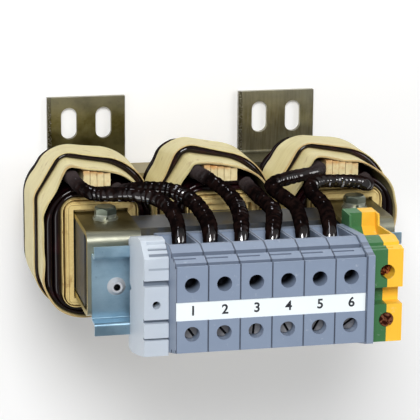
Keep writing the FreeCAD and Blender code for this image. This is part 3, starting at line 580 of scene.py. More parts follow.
def rounded_outline(corners):
    """Points round (x, y, radius) corners, as many on each arc and on each side."""
    arcs = []
    total = len(corners)
    for i, (x, y, radius) in enumerate(corners):
        here = Vector((x, y))
        back = (Vector(corners[i - 1][:2]) - here).normalized()
        ahead = (Vector(corners[(i + 1) % total][:2]) - here).normalized()
        half = back.angle(ahead) / 2
        middle = here + (back + ahead).normalized() * (radius / math.sin(half))
        spoke = here + back * (radius / math.tan(half)) - middle
        arcs.append([])
        for step in range(ARC_STEPS + 1):
            angle = (math.pi - 2 * half) * step / ARC_STEPS
            sine, cosine = math.sin(angle), math.cos(angle)
            arcs[-1].append(middle + Vector((spoke.x * cosine - spoke.y * sine,
                                             spoke.x * sine + spoke.y * cosine)))
    points = []
    for i, arc in enumerate(arcs):
        following = arcs[(i + 1) % total][0]
        points += arc
        points += [arc[-1].lerp(following, k / SIDE_STEPS) for k in range(1, SIDE_STEPS)]
    return points


def grown(corners, growth):
    """Corners of the outline that lies growth outside another. Both run anticlockwise."""
    outside = []
    total = len(corners)
    for i, (x, y, radius) in enumerate(corners):
        normals = Vector((0.0, 0.0))
        for start, end in ((corners[i - 1], corners[i]), (corners[i], corners[(i + 1) % total])):
            normals += Vector((end[1] - start[1], start[0] - end[0])).normalized()
        shift = normals * (2 * growth / normals.length_squared)
        outside.append((x + shift.x, y + shift.y, radius + growth))
    return outside


def outward(points):
    """Outward unit normals of an anticlockwise outline."""
    count = len(points)
    found = []
    for i in range(count):
        along = points[(i + 1) % count] - points[i - 1]
        found.append(Vector((along.y, -along.x)).normalized())
    return found


class Layers:
    """Outlines of a coil layer at several heights, with the points between interpolated."""

    def __init__(self, heights, outlines, lift=0.0):
        self.heights = heights
        self.lift = lift
        self.rings = [rounded_outline(corners) for corners in outlines]
        self.normals = [outward(ring) for ring in self.rings]
        self.count = len(self.rings[0])

    def point(self, i, z, offset=0.0):
        """Point on column i at height z, moved outwards by offset."""
        heights = self.heights
        z_in = min(max(z, heights[0]), heights[-1])
        k = 0
        while k < len(heights) - 2 and heights[k + 1] < z_in:
            k += 1
        share = (z_in - heights[k]) / (heights[k + 1] - heights[k])
        base = self.rings[k][i].lerp(self.rings[k + 1][i], share)
        normal = self.normals[k][i].lerp(self.normals[k + 1][i], share)
        spot = base + normal * (offset + self.lift)
        return Vector((spot.x, spot.y, z))

    def noise_at(self, i, size, seed, depth=0.0):
        """Smooth noise from -1 to 1 along the outline, which closes on itself."""
        return wave(*self.rings[-1][i], depth, size=size, seed=seed)


def closed_ring(profile_at, count):
    """Points and faces of a closed profile carried round a loop. profile_at(i) lists its points."""
    points = []
    for i in range(count):
        points += profile_at(i)
    width = len(points) // count
    faces = []
    for i in range(count):
        a = i * width
        b = (i + 1) % count * width
        for j in range(width):
            k = (j + 1) % width
            faces.append((a + j, b + j, b + k, a + k))
    return points, faces


def merge(parts):
    """Several (points, faces) in one."""
    points = []
    faces = []
    for more_points, more_faces in parts:
        base = len(points)
        points += more_points
        faces += [tuple(v + base for v in face) for face in more_faces]
    return points, faces


def paper_sheet(layers, z_low, z_high, offset, thickness, rows):
    """Thin closed sheet round a coil. z_low, z_high and offset are functions."""
    def profile(i):
        low = z_low(i)
        high = z_high(i)
        heights = [low + (high - low) * row / rows for row in range(rows + 1)]
        outer = [layers.point(i, z, offset(i, z) + thickness) for z in heights]
        inner = [layers.point(i, z, offset(i, z)) for z in reversed(heights)]
        return outer + inner
    return closed_ring(profile, layers.count)


# Sizes and colours that a user would change


def length_property(name, description, default):
    """A length in millimetres, as a property."""
    return FloatProperty(name=name, description=description + ", mm", default=default, min=0.0,
                         max=200.0, precision=2)


def colour_property(name, description, rgb):
    """A colour as a property. rgb is as on screen, 0 to 255."""
    return FloatVectorProperty(name=name, description=description, min=0.0, max=1.0,
                               default=[v / 255 for v in rgb], subtype="COLOR_GAMMA")


def angle_property(name, description, degrees):
    """An angle as a property."""
    return FloatProperty(name=name, description=description, default=math.radians(degrees),
                         subtype="ANGLE")


class ReactorPaper(bpy.types.PropertyGroup):
    """Paper round the coils."""
    sheet: length_property("Sheet", "Thickness of one turn of paper", 0.24)
    turns: IntProperty(name="Turns", description="Sheets that lie on each other", default=3,
                       min=1, max=6)
    ragged: length_property("Ragged edge", "How far an edge of the paper wanders", 0.55)
    flare: length_property("Flare", "How far the front of the collar waves in and out", 0.8)


class ReactorWinding(bpy.types.PropertyGroup):
    """Enamelled windings."""
    pitch: length_property("Turn pitch", "Height of one turn of wire", 3.2)
    groove: length_property("Groove", "Depth of the groove between two turns", 0.45)
    wander: length_property("Wander", "How far a turn strays along the coil", 0.35)


class ReactorLead(bpy.types.PropertyGroup):
    """Sleeved leads."""
    diameter: length_property("Diameter", "Outer diameter of the sleeving", 5.5)
    lumps: length_property("Lumps", "Height of the sleeving's lumps", 0.3)
    ripples: length_property("Ripples", "Height of the rings across the sleeving", 0.42)


class ReactorColours(bpy.types.PropertyGroup):
    """Light tones of the main finishes."""
    paper: colour_property("Paper", "Wound paper of the coils", (232, 222, 174))
    sleeve: colour_property("Sleeving", "Varnished sleeving of the leads", (30, 19, 17))
    rail: colour_property("Rail", "Passivated zinc of the rail", (184, 214, 230))
    housing: colour_property("Housings", "Plastic of the terminal housings", (138, 152, 174))
    end_clamp: colour_property("End clamp", "Plastic of the end clamp", (206, 215, 224))
    ground_green: colour_property("Ground green", "Green half of the ground terminal",
                                  (66, 122, 74))
    ground_yellow: colour_property("Ground yellow", "Yellow half of the ground terminal",
                                   (255, 204, 66))


class ReactorStage(bpy.types.PropertyGroup):
    """Camera, floor and light."""
    camera: FloatVectorProperty(name="Camera", description="Place of the camera",
                                default=(-0.177, 0.21525, 0.8638), subtype="XYZ", unit="LENGTH")
    pitch: angle_property("Pitch", "Tilt of the view down, towards the lower feet", 14.2)
    yaw: angle_property("Yaw", "Turn of the view towards the ground terminal", 12.5)
    roll: angle_property("Roll", "Turn of the picture about its middle", 0.45)
    lens: FloatProperty(name="Lens", description="Focal length on a 36 mm sensor",
                        default=174.3, unit="CAMERA")
    key_light: FloatProperty(name="Key light", description="Power of the overhead softbox",
                             default=9.5, unit="POWER")
    sky: FloatProperty(name="Sky", description="Strength of the even light all round",
                       default=0.24)


# Coils. The folds and rounds of their paper and windings are those of the CAD.


class Coil:
    """Outlines of one coil, with its sizes from its solids in the frame."""
    # Rounds of the inner winding and of the wrap under it, thickness of the inner paper, and its
    # play round the winding
    corner = 16.0
    wrap_corner = 6.0
    paper = 0.8
    play = 0.1
    # Inner paper at the rear
    rear_duct_height = 2.8
    rear_left_round = 18.5
    rear_right_round = 16.0
    round_share = 0.98
    # Inner paper at the collar's root, with its peak and the flat panel to the left of it
    duct_height = 6.6
    peak_x = -11.9
    peak_rise = 1.1
    peak_radius = 2.5
    panel_drop = 14.0
    panel_radius = 6.0
    right_sag = 5.0
    right_round = 22.0
    # Inner paper at the collar's front edge
    edge_bulge = 0.7
    edge_peak_shift = -0.3
    edge_peak_rise = 1.3
    edge_panel_drop = 17.6
    edge_sag = 3.6
    edge_right_round = 21.0
    # Outer winding
    outer_front = 1.3
    outer_rear = 1.7
    outer_crescent = 3.0
    outer_peak = 2.0
    outer_lift = 1.6

    def __init__(self, number):
        low, high = box_of(f"inner_winding_{number}")
        wrap_high = box_of(f"leg_wrap_{number}")[1]
        band_low, band_high = box_of(f"outer_winding_{number}")
        self.number = number
        self.x = x = (low.x + high.x) / 2
        self.wrap = (wrap_high.x - x, wrap_high.y)
        self.wind = (high.x - x, high.y)
        self.z_rear, self.z_front = low.z, high.z
        self.z_outer, self.z_collar = band_low.z, band_high.z
        self.z_band = box_of(f"outer_paper_{number}")[0].z
        self.bulge_height = 1.5 if number == 2 else 0.3
        left, right = low.x - self.play, high.x + self.play
        bottom = -high.y - self.play
        rear_top, top = high.y + self.rear_duct_height, high.y + self.duct_height
        side = self.rear_left_round * (2 - math.sqrt(2))
        radius = self.rear_left_round * self.round_share
        below = [(left, bottom, self.corner), (right, bottom, self.corner)]
        self.rear = below + [(right, rear_top, self.rear_right_round),
                             (left + side, rear_top, radius), (left, rear_top - side, radius)]
        self.root = below + [(right, top - self.right_sag, self.right_round),
                             (x + self.peak_x, top + self.peak_rise, self.peak_radius),
                             (left, top - self.panel_drop, self.panel_radius)]
        self.edge = [(left - self.edge_bulge, bottom, self.corner), below[1],
                     (right, top - self.edge_sag, self.edge_right_round),
                     (x + self.peak_x + self.edge_peak_shift, top + self.edge_peak_rise,
                      self.peak_radius),
                     (left - self.edge_bulge, top - self.edge_panel_drop, self.panel_radius)]

    def straight(self, size, radius):
        """A layer with the same four corners round the leg all along the coil."""
        half, top = size
        left, right = self.x - half, self.x + half
        corners = [(left, -top, radius), (right, -top, radius), (right, top, radius),
                   (left, top, radius)]
        return Layers([self.z_rear, self.z_front], [corners] * 2)

    def winding(self, share):
        """Outline through the inner winding, from its inside, 0, to its outside, 1."""
        size = [a + share * (b - a) for a, b in zip(self.wrap, self.wind)]
        return self.straight(size, self.wrap_corner + share * (self.corner - self.wrap_corner))

    def paper_layers(self, lift=0.0):
        """Inside of the inner paper, moved outwards by lift."""
        return Layers([self.z_rear, self.z_collar, self.z_front],
                      [self.rear, self.root, self.edge], lift)

    def outer_layers(self):
        """Outside of the outer winding, which is thicker at the upper right."""
        root = grown(self.root, self.paper + self.outer_front)
        x, y, radius = root[2]
        root[2] = (x, y + self.outer_lift, radius - self.outer_crescent)
        root[3] = (*root[3][:2], root[3][2] + self.outer_peak)
        return Layers([self.z_rear, self.z_collar],
                      [grown(self.rear, self.paper + self.outer_rear), root])

    def bulge(self, spot):
        """How far the outer winding rounds the fold between its left side and its peak, mm."""
        if spot.y < 0:
            return 0.0
        fold, foot = self.root[-2:]
        share = (spot.x - foot[0]) / (fold[0] - foot[0])
        return self.bulge_height * ease(share / 0.7) * ease((3.2 - share) / 2)


# Outside of one turn of wire: how far up the turn, and what share of the groove's depth
TURN_PROFILE = ((0.04, 1.0), (0.2, 0.3), (0.5, 0.0), (0.8, 0.3), (0.96, 1.0))
CROWN_STEPS = 6


def ring_of_turns(inside, outside, z_low, z_high, winding, seed, shift=lambda i, z: 0.0):
    """Winding between two outlines: grooves between its turns and a rounded crown in front."""
    turns = max(1, round((z_high - z_low) / winding.pitch))
    height = (z_high - z_low) / turns

    def profile(i):
        rise = winding.wander * outside.noise_at(i, 18.0, seed)
        found = []
        for turn in range(turns):
            stray = rise if turn else 0.0
            for share, dip in TURN_PROFILE:
                if turn == turns - 1 and share > 0.4:
                    continue
                z = z_low + (turn + share) * height + stray
                found.append(outside.point(i, z, shift(i, z) - dip * winding.groove))
        outer = outside.point(i, z_high, shift(i, z_high))
        inner = inside.point(i, z_high)
        crown = min((outer - inner).length / 2, height * 0.5)
        for step in range(CROWN_STEPS + 1):
            turned = math.pi * step / CROWN_STEPS
            spot = outer.lerp(inner, (1 - math.cos(turned)) / 2)
            spot.z = z_high - crown + crown * math.sin(turned) + rise
            found.append(spot)
        found.append(inside.point(i, z_low))
        return found
    return closed_ring(profile, outside.count)


def add_coil_pieces(piece, node, slot, sharp, shape_of, *settings):
    """A piece for one node of each coil, with the shape that shape_of(coil, *settings) gives."""
    for number in COILS:
        add_piece(f"{piece}_{number}", shape_of(Coil(number), *settings), slot,
                  f"{node}_{number}", sharp)


def inner_turns(coil, winding):
    """Two layers of wire, the outer one ending a little further back."""
    shares = ((0.0, 0.49), (0.51, 1.0))
    set_back, step_back = 0.5, 0.7
    parts = []
    for layer, (inner, outer) in enumerate(shares):
        z_high = coil.z_front - set_back - step_back * layer
        parts.append(ring_of_turns(coil.winding(inner), coil.winding(outer), coil.z_rear, z_high,
                                   winding, coil.number * 3 + layer))
    return merge(parts)


class REACTOR_OT_inner_windings(bpy.types.Operator):
    """Two glossy wire layers of each coil, with rounded crowns at the front"""
    bl_idname = "reactor.inner_windings"
    bl_label = "Inner windings"

    def execute(self, context):
        add_coil_pieces("inner_turns", "inner_winding", "enamelled_wire", 50.0, inner_turns,
                        context.scene.reactor_winding)
        return {"FINISHED"}


def outer_turns(coil, winding):
    """Turns over the inner paper, tucked in behind the band except at the paper's flat panel."""
    set_back, tuck = 0.3, 1.1
    panel_x, panel_end = -11.0, 5.0
    layers = coil.outer_layers()

    def shift(i, z):
        spot = layers.point(i, z)
        behind_band = z < coil.z_band + 1
        right_of_panel = clamped((spot.x - coil.x - panel_x) / panel_end)
        return coil.bulge(spot) - tuck * right_of_panel * behind_band
    return ring_of_turns(coil.paper_layers(coil.paper), layers, coil.z_outer,
                         coil.z_collar - set_back, winding, coil.number + 20, shift)


class REACTOR_OT_outer_windings(bpy.types.Operator):
    """Outer winding of each coil, seen beside the peak of the collar and behind the bands"""
    bl_idname = "reactor.outer_windings"
    bl_label = "Outer windings"

    def execute(self, context):
        add_coil_pieces("outer_turns", "outer_winding", "enamelled_wire", 50.0, outer_turns,
                        context.scene.reactor_winding)
        return {"FINISHED"}


def collar(coil, paper):
    """Sheets of the inner paper: drawn in at the rear, waving and creased towards the front."""
    set_back, step_back = 0.6, 0.35
    clearance, gap, crease = 0.02, 0.03, 0.1
    rear_step, rear_slope = 2.6, 2.0
    layers = coil.paper_layers()
    parts = []
    for turn in range(paper.turns):
        def rim(i):
            return (coil.z_front - set_back - step_back * abs(turn - 1)
                    + paper.ragged * layers.noise_at(i, 7.0, coil.number, turn * 14.0))

        def swell(i, z):
            drawn_in = min(rear_step, max(0.0, coil.z_outer + rear_slope - z))
            out = max(0.0, (z - coil.z_collar) / (coil.z_front - coil.z_collar))
            waves = (paper.flare * layers.noise_at(i, 9.0, coil.number + 40)
                     + crease * layers.noise_at(i, 3.0, coil.number * 7 + turn, z / 3))
            return clearance + turn * (paper.sheet + gap) - drawn_in + out * waves
        parts.append(paper_sheet(layers, lambda i: coil.z_rear, rim, swell, paper.sheet, 16))
    return merge(parts)


class REACTOR_OT_collars(bpy.types.Operator):
    """Paper of the inner part of each coil, folded to a peak over the first lead"""
    bl_idname = "reactor.collars"
    bl_label = "Paper collars"

    def execute(self, context):
        add_coil_pieces("collar", "inner_paper", "coil_paper", 35.0, collar,
                        context.scene.reactor_paper)
        return {"FINISHED"}


def band(coil, paper):
    """Two sheets of the outer paper, loose in places, with ragged edges."""
    sheet, gap, clearance = 0.17, 0.02, 0.06
    wander, looseness, crease = 1.2, 0.5, 0.05
    layers = coil.outer_layers()

    def swell(i, z):
        return (clearance + turn * (sheet + gap) + coil.bulge(layers.point(i, z))
                + looseness * max(0.0, layers.noise_at(i, 13.0, coil.number * 3 + 1))
                + crease * layers.noise_at(i, 4.0, coil.number * 5, z / 2))

    def ragged(i, seed):
        return wander * paper.ragged * layers.noise_at(i, 9.0, coil.number + seed, turn * 18.0)

    def rim(i):
        return coil.z_collar - 0.2 - 0.5 * turn + ragged(i, 11)

    def foot(i):
        return coil.z_band + 0.5 + 0.8 * turn + ragged(i, 23)
    parts = []
    for turn in range(2):
        parts.append(paper_sheet(layers, foot, rim, swell, sheet, 12))
    return merge(parts)


class REACTOR_OT_bands(bpy.types.Operator):
    """Paper band round the outer winding of each coil"""
    bl_idname = "reactor.bands"
    bl_label = "Paper bands"

    def execute(self, context):
        add_coil_pieces("band", "outer_paper", "coil_paper", 35.0, band,
                        context.scene.reactor_paper)
        return {"FINISHED"}


def leg_wrap(coil):
    """Sheets from the former out to the inner winding, the last of them wavy."""
    former_gap, former_corner = 0.1, 1.3
    rows = 4
    # Share of the way out, thickness as such a share, and waviness of each sheet
    sheets = ((0.02, 0.3, 0.0), (0.35, 0.13, 0.02), (0.82, 0.15, 0.07))
    low, high = box_of(f"leg_wrap_{coil.number}")
    former = box_of(f"coil_former_{coil.number}")[1]
    tight = coil.straight((former.x - coil.x + former_gap, former.y + former_gap), former_corner)
    loose = coil.straight(coil.wrap, coil.wrap_corner)
    parts = []
    for turn, (share, thick, waves) in enumerate(sheets):
        def profile(i):
            place = share + waves * loose.noise_at(i, 8.0, coil.number * 9 + turn)
            top = high.z - 0.3 - 0.4 * turn + 0.5 * loose.noise_at(i, 6.0, coil.number + turn)
            heights = [low.z + (top - low.z) * row / rows for row in range(rows + 1)]
            found = [(z, place + thick) for z in heights]
            found += [(z, place) for z in reversed(heights)]
            return [tight.point(i, z).lerp(loose.point(i, z), depth) for z, depth in found]
        parts.append(closed_ring(profile, loose.count))
    return merge(parts)


class REACTOR_OT_leg_wraps(bpy.types.Operator):
    """Paper wound round each former: tight boards inside, a wavy sheet outside"""
    bl_idname = "reactor.leg_wraps"
    bl_label = "Leg wraps"

    def execute(self, context):
        add_coil_pieces("wound_wrap", "leg_wrap", "pressboard", 35.0, leg_wrap)
        return {"FINISHED"}


def top_at(ring, x):
    """Height of an outline's upper side at x."""
    heights = [0.0]
    for a, b in zip(ring, ring[1:] + ring[:1]):
        if a.y > 0 and (a.x - x) * (b.x - x) < 0:
            heights.append(a.lerp(b, (x - a.x) / (b.x - a.x)).y)
    return max(heights)


def rough_stick(sides, y0, tops, heights, seed):
    """One stick: a board with an uneven cut end at the front. Its top follows the paper, whose
    height is given at the stick's rear, at the collar's root and at the front."""
    across, up = 6, 12
    x0, x1 = sides
    tip = heights[-1] - 0.7 + 0.45 * wave(seed * 3.1, size=1.0)
    points = []
    for j in range(up + 1):
        for i in range(across + 1):
            x = x0 + (x1 - x0) * i / across
            y = y0 + (tops[-1] - y0) * j / up
            rough = 0.2 * wave(x, y, seed, size=0.8) + 0.3 * wave(x, y, seed, size=3.0)
            points.append((x, y, tip + rough))
    width = across + 1
    faces = [(a, a + 1, a + 1 + width, a + width)
             for j in range(up) for a in range(j * width, j * width + across)]
    rim = [*range(across), *range(across, up * width, width),
           *range(up * width + across, up * width, -1), *range(up * width, 0, -width)]
    last = rim
    for z, top in ((heights[1], tops[1]), (heights[0], tops[0])):
        start = len(points)
        for a in rim:
            x, y = points[a][:2]
            points.append((x, y0 + (y - y0) * (top - y0) / (tops[-1] - y0), z))
        ring = list(range(start, len(points)))
        for k in range(len(ring)):
            n = (k + 1) % len(ring)
            faces.append((last[k], ring[k], ring[n], last[n]))
        last = ring
    faces.append(tuple(reversed(last)))
    return points, faces


def duct_sticks(coil):
    """Sticks side by side on the inner winding, cut to fit under the paper."""
    width, gap, trim = 2.6, 0.15, 0.03
    under_paper, over_winding = 0.3, 0.02
    pitch = width + gap
    low, high = box_of(f"packing_sticks_{coil.number}")
    rings = coil.paper_layers().rings
    heights = (coil.z_rear, coil.z_collar, coil.z_front)
    parts = []
    for stick in range(round((high.x - low.x) / pitch)):
        x0 = low.x + stick * pitch + trim
        x1 = x0 + width - 2 * trim
        tops = [min(top_at(ring, x0), top_at(ring, x1)) - under_paper for ring in rings]
        parts.append(rough_stick((x0, x1), low.y + over_winding, tops, heights,
                                 coil.number * 10 + stick))
    return merge(parts)


class REACTOR_OT_sticks(bpy.types.Operator):
    """Rough cut sticks that keep the cooling duct open"""
    bl_idname = "reactor.sticks"
    bl_label = "Duct sticks"

    def execute(self, context):
        add_coil_pieces("duct_sticks", "packing_sticks", "duct_wood", 30.0, duct_sticks)
        return {"FINISHED"}


# Leads. Each has its coil and its route from there, as in the CAD: how far right of the coil's
# middle, above the top of its inner winding and beyond its front end, mm.

LEAD_ROUTES = (
    (1, ((-10.8, 2.1, -15.0), (-10.8, 2.1, -9.5), (-10.8, 4.2, -1.5), (-10.6, 4.0, 3.5),
         (-8.9, 1.9, 9.0), (-4.0, 0.4, 15.0), (2.4, 1.9, 21.0), (9.0, 2.8, 26.2),
         (15.4, 2.8, 31.0), (20.2, 0.8, 37.5), (21.9, -3.0, 46.5))),
    (1, ((6.9, -1.3, 0.0), (6.9, -1.3, 4.4), (10.4, 0.6, 8.8), (14.9, 1.9, 13.2),
         (21.0, 2.9, 19.0), (27.0, 2.6, 26.0), (31.9, 0.2, 34.0), (34.1, -3.6, 44.5))),
    (2, ((-10.9, 2.1, -15.0), (-10.9, 2.1, -9.5), (-10.9, 4.2, -1.5), (-10.7, 4.2, 3.5),
         (-7.8, 3.1, 9.0), (-5.0, 1.8, 16.0), (-2.9, 0.1, 24.0), (-1.9, -1.9, 33.0),
         (-3.0, -4.2, 43.0))),
    (2, ((9.0, -1.3, 0.0), (9.0, -1.3, 4.0), (10.1, -3.0, 11.0), (11.8, -4.0, 21.0),
         (12.4, -4.2, 30.0), (11.2, -4.6, 39.0))),
    (3, ((-10.8, 2.1, -15.0), (-10.8, 2.1, -9.5), (-10.8, 4.2, 1.8), (-14.6, 3.7, 5.8),
         (-21.6, 2.8, 7.2), (-29.8, 1.8, 9.4), (-34.9, 0.9, 13.4), (-34.2, -0.1, 19.8),
         (-31.5, -1.4, 26.6), (-30.0, -2.6, 34.4), (-30.4, -4.1, 42.0))),
    (3, ((7.7, -1.3, 0.0), (7.7, -1.3, 3.4), (7.5, -2.6, 7.2), (4.5, -0.6, 10.2),
         (-0.1, 0.7, 11.2), (-7.5, 0.9, 11.2), (-14.1, 1.5, 11.6), (-18.5, 0.4, 14.0),
         (-19.7, -1.3, 19.2), (-18.1, -2.7, 25.2), (-17.5, -3.7, 32.0), (-18.9, -4.6, 40.5))),
)
# How far right of its housing's middle each lead enters
ENTRY_SHIFTS = (0.9, 0.9, 0.9, 0.9, 0.8, -0.4)
# How strongly the sleeving of each lead is ringed, and how much thicker it is where bunched, mm
RINGED = (0.6, 1.1, 1.8, 1.8, 0.7, 1.0)
BUNCHED = (0.15, 0.5, 0.3, 0.35, 0.2, 0.2)
# The straight end of each lead, on its way down into the clamp, and the bare strand beyond it
RUN_IN_Y = 20.2
SLEEVE_END_Y = 13.6
WIRE_Z = 148.0
STRAND_RADIUS = 1.9
STRAND_LENGTH = 7.4
SLEEVE_STEP = 0.32
SLEEVE_SIDES = 40
RING_PITCH = 2.8
BEND_SPAN = 6


def smooth_line(points, name):
    """Points of the quadratic spline over a route, read from a curve without a bevel."""
    curve = bpy.data.curves.new(name, "CURVE")
    curve.dimensions = "3D"
    curve.resolution_u = 20
    spline = curve.splines.new("NURBS")
    spline.points.add(len(points) - 1)
    for spot, place in zip(spline.points, points):
        spot.co = (*place, 1.0)
    spline.order_u = 3
    spline.use_endpoint_u = True
    holder = bpy.data.objects.new(name, curve)
    mesh = bpy.data.meshes.new_from_object(holder)
    line = [v.co.copy() for v in mesh.vertices]
    bpy.data.objects.remove(holder)
    bpy.data.meshes.remove(mesh)
    bpy.data.curves.remove(curve)
    return line


def evenly(line, step):
    """The same line with points step apart."""
    lengths = [0.0]
    for a, b in zip(line, line[1:]):
        lengths.append(lengths[-1] + (b - a).length)
    count = round(lengths[-1] / step)
    found = []
    k = 0
    for i in range(count + 1):
        wanted = lengths[-1] * i / count
        while k < len(line) - 2 and lengths[k + 1] < wanted:
            k += 1
        span = lengths[k + 1] - lengths[k] or 1.0
        found.append(line[k].lerp(line[k + 1], (wanted - lengths[k]) / span))
    return found


class Sleeving:
    """The sleeving of one lead: lumpy varnish, rings across it, and folds where it is bunched."""

    def __init__(self, number, route, lead):
        self.number = number
        self.lead = lead
        self.line = evenly(smooth_line(route, f"route_{number}"), SLEEVE_STEP)
        self.last = len(self.line) - 1
        self.bends = [self.bend(s) for s in range(len(self.line))]

    def bend(self, s):
        """How much the line turns near a point: 0 where it is straight, 1 in a tight bend."""
        if s in (0, self.last):
            return 0.0
        here = self.line[s]
        before = (here - self.line[max(s - BEND_SPAN, 0)]).normalized()
        after = (self.line[min(s + BEND_SPAN, self.last)] - here).normalized()
        return min(1.0, 14 * (1.0 - before.dot(after)))

    def radius(self, s, angle):
        """Radius at a point of the line, in one direction."""
        run = s * SLEEVE_STEP
        share = s / self.last

        def waves(length, reach, seed):
            """Noise along the sleeving, and round it by as much as reach says."""
            return wave(run / length, reach * math.cos(angle), reach * math.sin(angle), size=1.0,
                        seed=self.number + seed)
        soft = 1.0 - 0.9 * clamped((share - 0.7) / 0.25)
        phase = run / RING_PITCH + 0.9 * waves(7.0, 0.0, 9) + 0.5 * waves(6.0, 0.8, 15)
        ring = math.sin(math.pi * phase) ** 2 - 0.5
        calm = 0.6 + 0.8 * waves(11.0, 0.0, 5)
        rings = RINGED[self.number - 1] * ring * soft * (0.1 + 0.9 * max(self.bends[s], calm))
        bunched = (BUNCHED[self.number - 1] * ease((share - 0.25) / 0.3)
                   * ease((self.last - s) * SLEEVE_STEP / 14.0))
        return (self.lead.diameter / 2 - 0.1 + bunched + self.lead.ripples * rings
                + self.lead.lumps * waves(5.0, 1.1, 0) * (0.4 + 0.6 * soft)
                + 0.09 * waves(1.1, 2.4, 30) * (0.2 + 0.8 * soft))

    def shape(self):
        """Points and faces of the sleeving and of the bare strand at its end."""
        points = []
        normal = Vector((0, 0, 1))
        for s, here in enumerate(self.line):
            along = self.line[min(s + 1, self.last)] - self.line[max(s - 1, 0)]
            along.normalize()
            normal = (normal - along * normal.dot(along)).normalized()
            side = along.cross(normal)
            for k in range(SLEEVE_SIDES):
                angle = math.tau * k / SLEEVE_SIDES
                spoke = normal * math.cos(angle) + side * math.sin(angle)
                points.append(here + spoke * self.radius(s, angle))
        end = self.line[-1]
        along = (end - self.line[-2]).normalized()
        spokes = [p - end for p in points[-SLEEVE_SIDES:]]
        spokes = [(spoke - along * spoke.dot(along)).normalized() for spoke in spokes]
        for shift in (0.0, STRAND_LENGTH):
            points += [end + along * shift + spoke * STRAND_RADIUS for spoke in spokes]
        faces = [tuple(range(SLEEVE_SIDES - 1, -1, -1))]
        tip = len(points)
        for a in range(tip - SLEEVE_SIDES):
            b = a + 1 if (a + 1) % SLEEVE_SIDES else a + 1 - SLEEVE_SIDES
            faces.append((a, b, b + SLEEVE_SIDES, a + SLEEVE_SIDES))
        points.append(end + along * STRAND_LENGTH)
        for a in range(tip - SLEEVE_SIDES, tip):
            b = a + 1 if a + 1 < tip else a + 1 - SLEEVE_SIDES
            faces.append((a, b, tip))
        return points, faces


class REACTOR_OT_leads(bpy.types.Operator):
    """Sleeved leads from the coils into the terminals"""
    bl_idname = "reactor.leads"
    bl_label = "Leads"

    def execute(self, context):
        for number in TERMINALS:
            low, high = box_of(f"terminal_housing_{number}")
            x = (low.x + high.x) / 2 + ENTRY_SHIFTS[number - 1]
            coil_number, steps = LEAD_ROUTES[number - 1]
            coil = Coil(coil_number)
            route = [(coil.x + dx, coil.wind[1] + dy, coil.z_front + dz) for dx, dy, dz in steps]
            route += [(x, RUN_IN_Y, WIRE_Z), (x, SLEEVE_END_Y, WIRE_Z)]
            made = Sleeving(number, route, context.scene.reactor_lead).shape()
            add_piece(f"sleeved_lead_{number}", made, "lead_sleeve", f"lead_{number}",
                      sharp=60.0)
        return {"FINISHED"}


class REACTOR_OT_numbers(bpy.types.Operator):
    """Plain numbers on the marking strip, one to each terminal"""
    bl_idname = "reactor.numbers"
    bl_label = "Numbers"

    def execute(self, context):
        height, thickness, weight = 5.0, 0.02, 0.11
        shift_right, lift = 0.4, 0.03
        strip_low, strip_high = box_of("marker_strip")
        for number in TERMINALS:
            low, high = box_of(f"terminal_housing_{number}")
            text = bpy.data.curves.new(f"number_{number}", "FONT")
            text.body = str(number)
            text.size = height * MM
            text.align_x = "CENTER"
            text.align_y = "CENTER"
            text.extrude = thickness * MM
            text.offset = weight * MM
            text.materials.append(finishes["number_ink"].material)
            holder = bpy.data.objects.new(f"number_{number}", text)
            bpy.context.scene.collection.objects.link(holder)
            holder.location = (((low.x + high.x) / 2 + shift_right) * MM,
                               (strip_low.y + strip_high.y) / 2 * MM,
                               (strip_high.z + lift) * MM)
            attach(holder, "root")
        return {"FINISHED"}


class REACTOR_OT_solids(bpy.types.Operator):
    """Finishes and softened edges of the CAD's solids"""
    bl_idname = "reactor.solids"
    bl_label = "Solids"

    # Width of the rounded edges of the solids with each finish, mm
    edge_widths = {"core_steel": 0.15, "bracket_steel": 0.25, "rail_zinc": 0.15,
                   "block_grey": 0.22, "clamp_light_grey": 0.25, "ground_green": 0.22,
                   "ground_yellow": 0.22, "zinc_fastener": 0.06, "pressboard": 0.2,
                   "marker_white": 0.1, "rivet_aluminium": 0.12, "screw_metal": 0.1}

    def execute(self, context):
        slots = {part["node"]: part["material_slot"] for part in frame["record"]["subparts"]}
        for name, shown in frame["nodes"].items():
            slot = slots[name]
            shown.data.materials.clear()
            shown.data.materials.append(finishes[slot].material)
            if slot in self.edge_widths:
                soften(shown, self.edge_widths[slot])
        return {"FINISHED"}


def soften(shown, width):
    """Rounded edges on a solid, shaded so that the faces beside them stay flat."""
    bevel = shown.modifiers.new("soft edges", "BEVEL")
    bevel.width = width * MM
    bevel.segments = 2
    bevel.limit_method = "ANGLE"
    bevel.angle_limit = math.radians(35)
    bevel.harden_normals = True


# Stage


class REACTOR_OT_stage(bpy.types.Operator):
    """Pale floor, soft light and the camera"""
    bl_idname = "reactor.stage"
    bl_label = "Stage"

    def execute(self, context):
        stage = context.scene.reactor_stage
        place_camera(context.scene, stage)
        mesh = bpy.data.meshes.new("stage_floor")
        half = 4.0
        mesh.from_pydata([(-half, -half, 0), (half, -half, 0), (half, half, 0), (-half, half, 0)],
                         [], [(0, 1, 2, 3)])
        floor = bpy.data.objects.new("stage_floor", mesh)
        context.scene.collection.objects.link(floor)
        mesh.materials.append(finishes["stage_floor"].material)
        softbox("key", (-0.2, 0.6, 1.05), 0.42, stage.key_light)
        softbox("fill", (-0.9, -0.25, 0.75), 0.6, stage.key_light * 0.26)
        softbox("side", (0.8, 0.3, 0.7), 0.45, stage.key_light * 0.26)
        world = bpy.data.worlds.new("studio")
        world.use_nodes = True
        background = world.node_tree.nodes["Background"]
        background.inputs["Color"].default_value = (0.97, 0.98, 1.0, 1.0)
        background.inputs["Strength"].default_value = stage.sky
        context.scene.world = world
        context.scene.view_settings.view_transform = "Standard"
        return {"FINISHED"}


